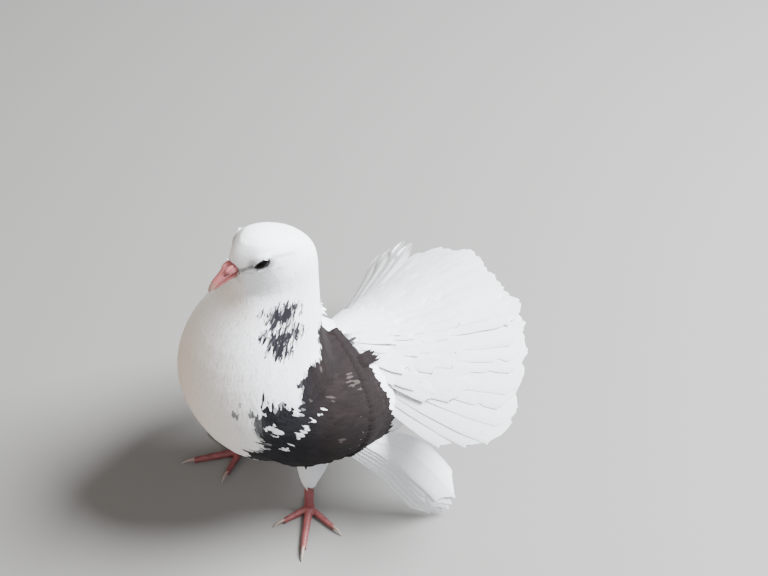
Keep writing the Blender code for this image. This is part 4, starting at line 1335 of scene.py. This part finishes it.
def foot_colour(point):
    """Pink red, with a random tone, darker towards the bottom."""
    tone = noise.noise(Vector(point) * 0.35)
    return FOOT_RED * (1 + 0.3 * tone) * (0.8 + 0.2 * step_between(0.0, 3.0, point[2]))


def make_foot(foot, material, horn):
    name = foot[0]
    piece = fused("foot_skin_" + name, [shank_part(foot)] + [toe_part(foot, toe) for toe in TOES], 0.38, 2)
    paint(piece, foot_colour, material)
    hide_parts("foot_" + name)
    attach(piece, "root")
    for toe in TOES:
        make_claw(foot, toe, horn)


def make_claw(foot, toe, material):
    side = foot[0]
    name, turn, length, toe_radius, claw = toe
    steps, sides = 14, 14
    share = np.linspace(0, 1, steps)[:, None]
    radius = toe_radius * 0.5
    size = radius * (1 - share) ** 0.7 + 0.1
    distance = length - 0.6 + (claw + 0.9) * share
    up = (radius + 0.9) * (1 - share**2) + 0.55 * share + 0.25 * np.sin(math.pi * share)
    angle = (np.arange(sides) * TAU / sides)[None]
    across = 0.75 * size * np.sin(angle)
    points = toe_places(foot, turn, distance, across, up + size * np.cos(angle))
    piece = mesh_object(f"horn_{side}_{name}", points, loft_faces(steps, sides), material)
    face_out(piece.data)
    set_colours(piece.data, mixed(CLAW_BASE, CLAW_TIP, np.repeat(share, sides, axis=1).reshape(-1, 1)))
    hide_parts(f"claw_{side}_{name}")
    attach(piece, "root")


# Floor, light and camera


def make_floor():
    material, _, shader = principled("pale_floor", 0.75)
    shader.inputs["Base Color"].default_value = FLOOR_GREY
    points = [(x * FLOOR_HALF, y * FLOOR_HALF, 0) for x, y in ((-1, -1), (1, -1), (1, 1), (-1, 1))]
    mesh_object("floor", points, [(0, 1, 2, 3)], material, smooth=False)


def make_light():
    """A soft sky and three round lamps that look at the body's middle."""
    world = bpy.data.worlds.new("soft")
    world.use_nodes = True
    back = world.node_tree.nodes["Background"]
    back.inputs["Color"].default_value = SKY
    back.inputs["Strength"].default_value = SKY_STRENGTH
    bpy.context.scene.world = world
    for name, place, size, power, colour in LAMPS:
        data = bpy.data.lights.new(name, "AREA")
        data.shape = "DISK"
        data.size = size
        data.energy = power
        data.color = colour
        lamp = link_object(name, data)
        lamp.location = at(*place)
        lamp.rotation_euler = (at(0, 0, 90) - lamp.location).to_track_quat("-Z", "Y").to_euler()


def make_camera():
    """The photograph's view: from the bird's left, high above."""
    cos, sin = math.cos(CAMERA_HEADING), math.sin(CAMERA_HEADING)
    right = Vector((sin, cos, 0.0))
    flat = Vector((-cos, sin, 0.0))
    look = flat * math.cos(CAMERA_PITCH) - Vector((0, 0, 1)) * math.sin(CAMERA_PITCH)
    turn = Matrix((right, right.cross(look), -look)).transposed().to_4x4()
    data = bpy.data.cameras.new("camera")
    data.sensor_width = 36.0
    data.lens = CAMERA_LENS
    data.clip_start = 0.01
    camera = link_object("camera", data)
    camera.matrix_world = Matrix.Translation(at(*CAMERA_PLACE)) @ turn
    bpy.context.scene.camera = camera


def main():
    make_camera()
    make_light()
    make_floor()
    soft = plumage_material("soft_plumage", 1.6, 0.3, 0.0002)
    vane = plumage_material("flight_plumage", 1.3, 0.5, 0.0003)
    horn = bare_material("bill_horn", 0.42, 900.0, 0.25, Subsurface_Weight=0.1)
    scales = bare_material("scaly_skin", 0.5, 1300.0, 0.4)
    lid_skin = bare_material("lid_skin", 0.75, 1800.0, 0.5)
    eye, _, shader = principled("eye_gloss", 0.15, Specular_IOR_Level=0.1)
    shader.inputs["Base Color"].default_value = EYE_BLACK
    skin = make_skin()
    colour_skin(skin, soft)
    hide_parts("head", "neck", "torso", "thigh_left", "thigh_right")
    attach(skin, "root")
    lay_coat(skin, soft)
    make_tail(vane)
    for side, name in ((1, "left"), (-1, "right")):
        make_wing(side, name, vane)
        make_eye(side, name, eye)
        make_lids(side, name, lid_skin)
    make_bill(horn)
    for foot in FEET:
        make_foot(foot, scales, horn)


main()
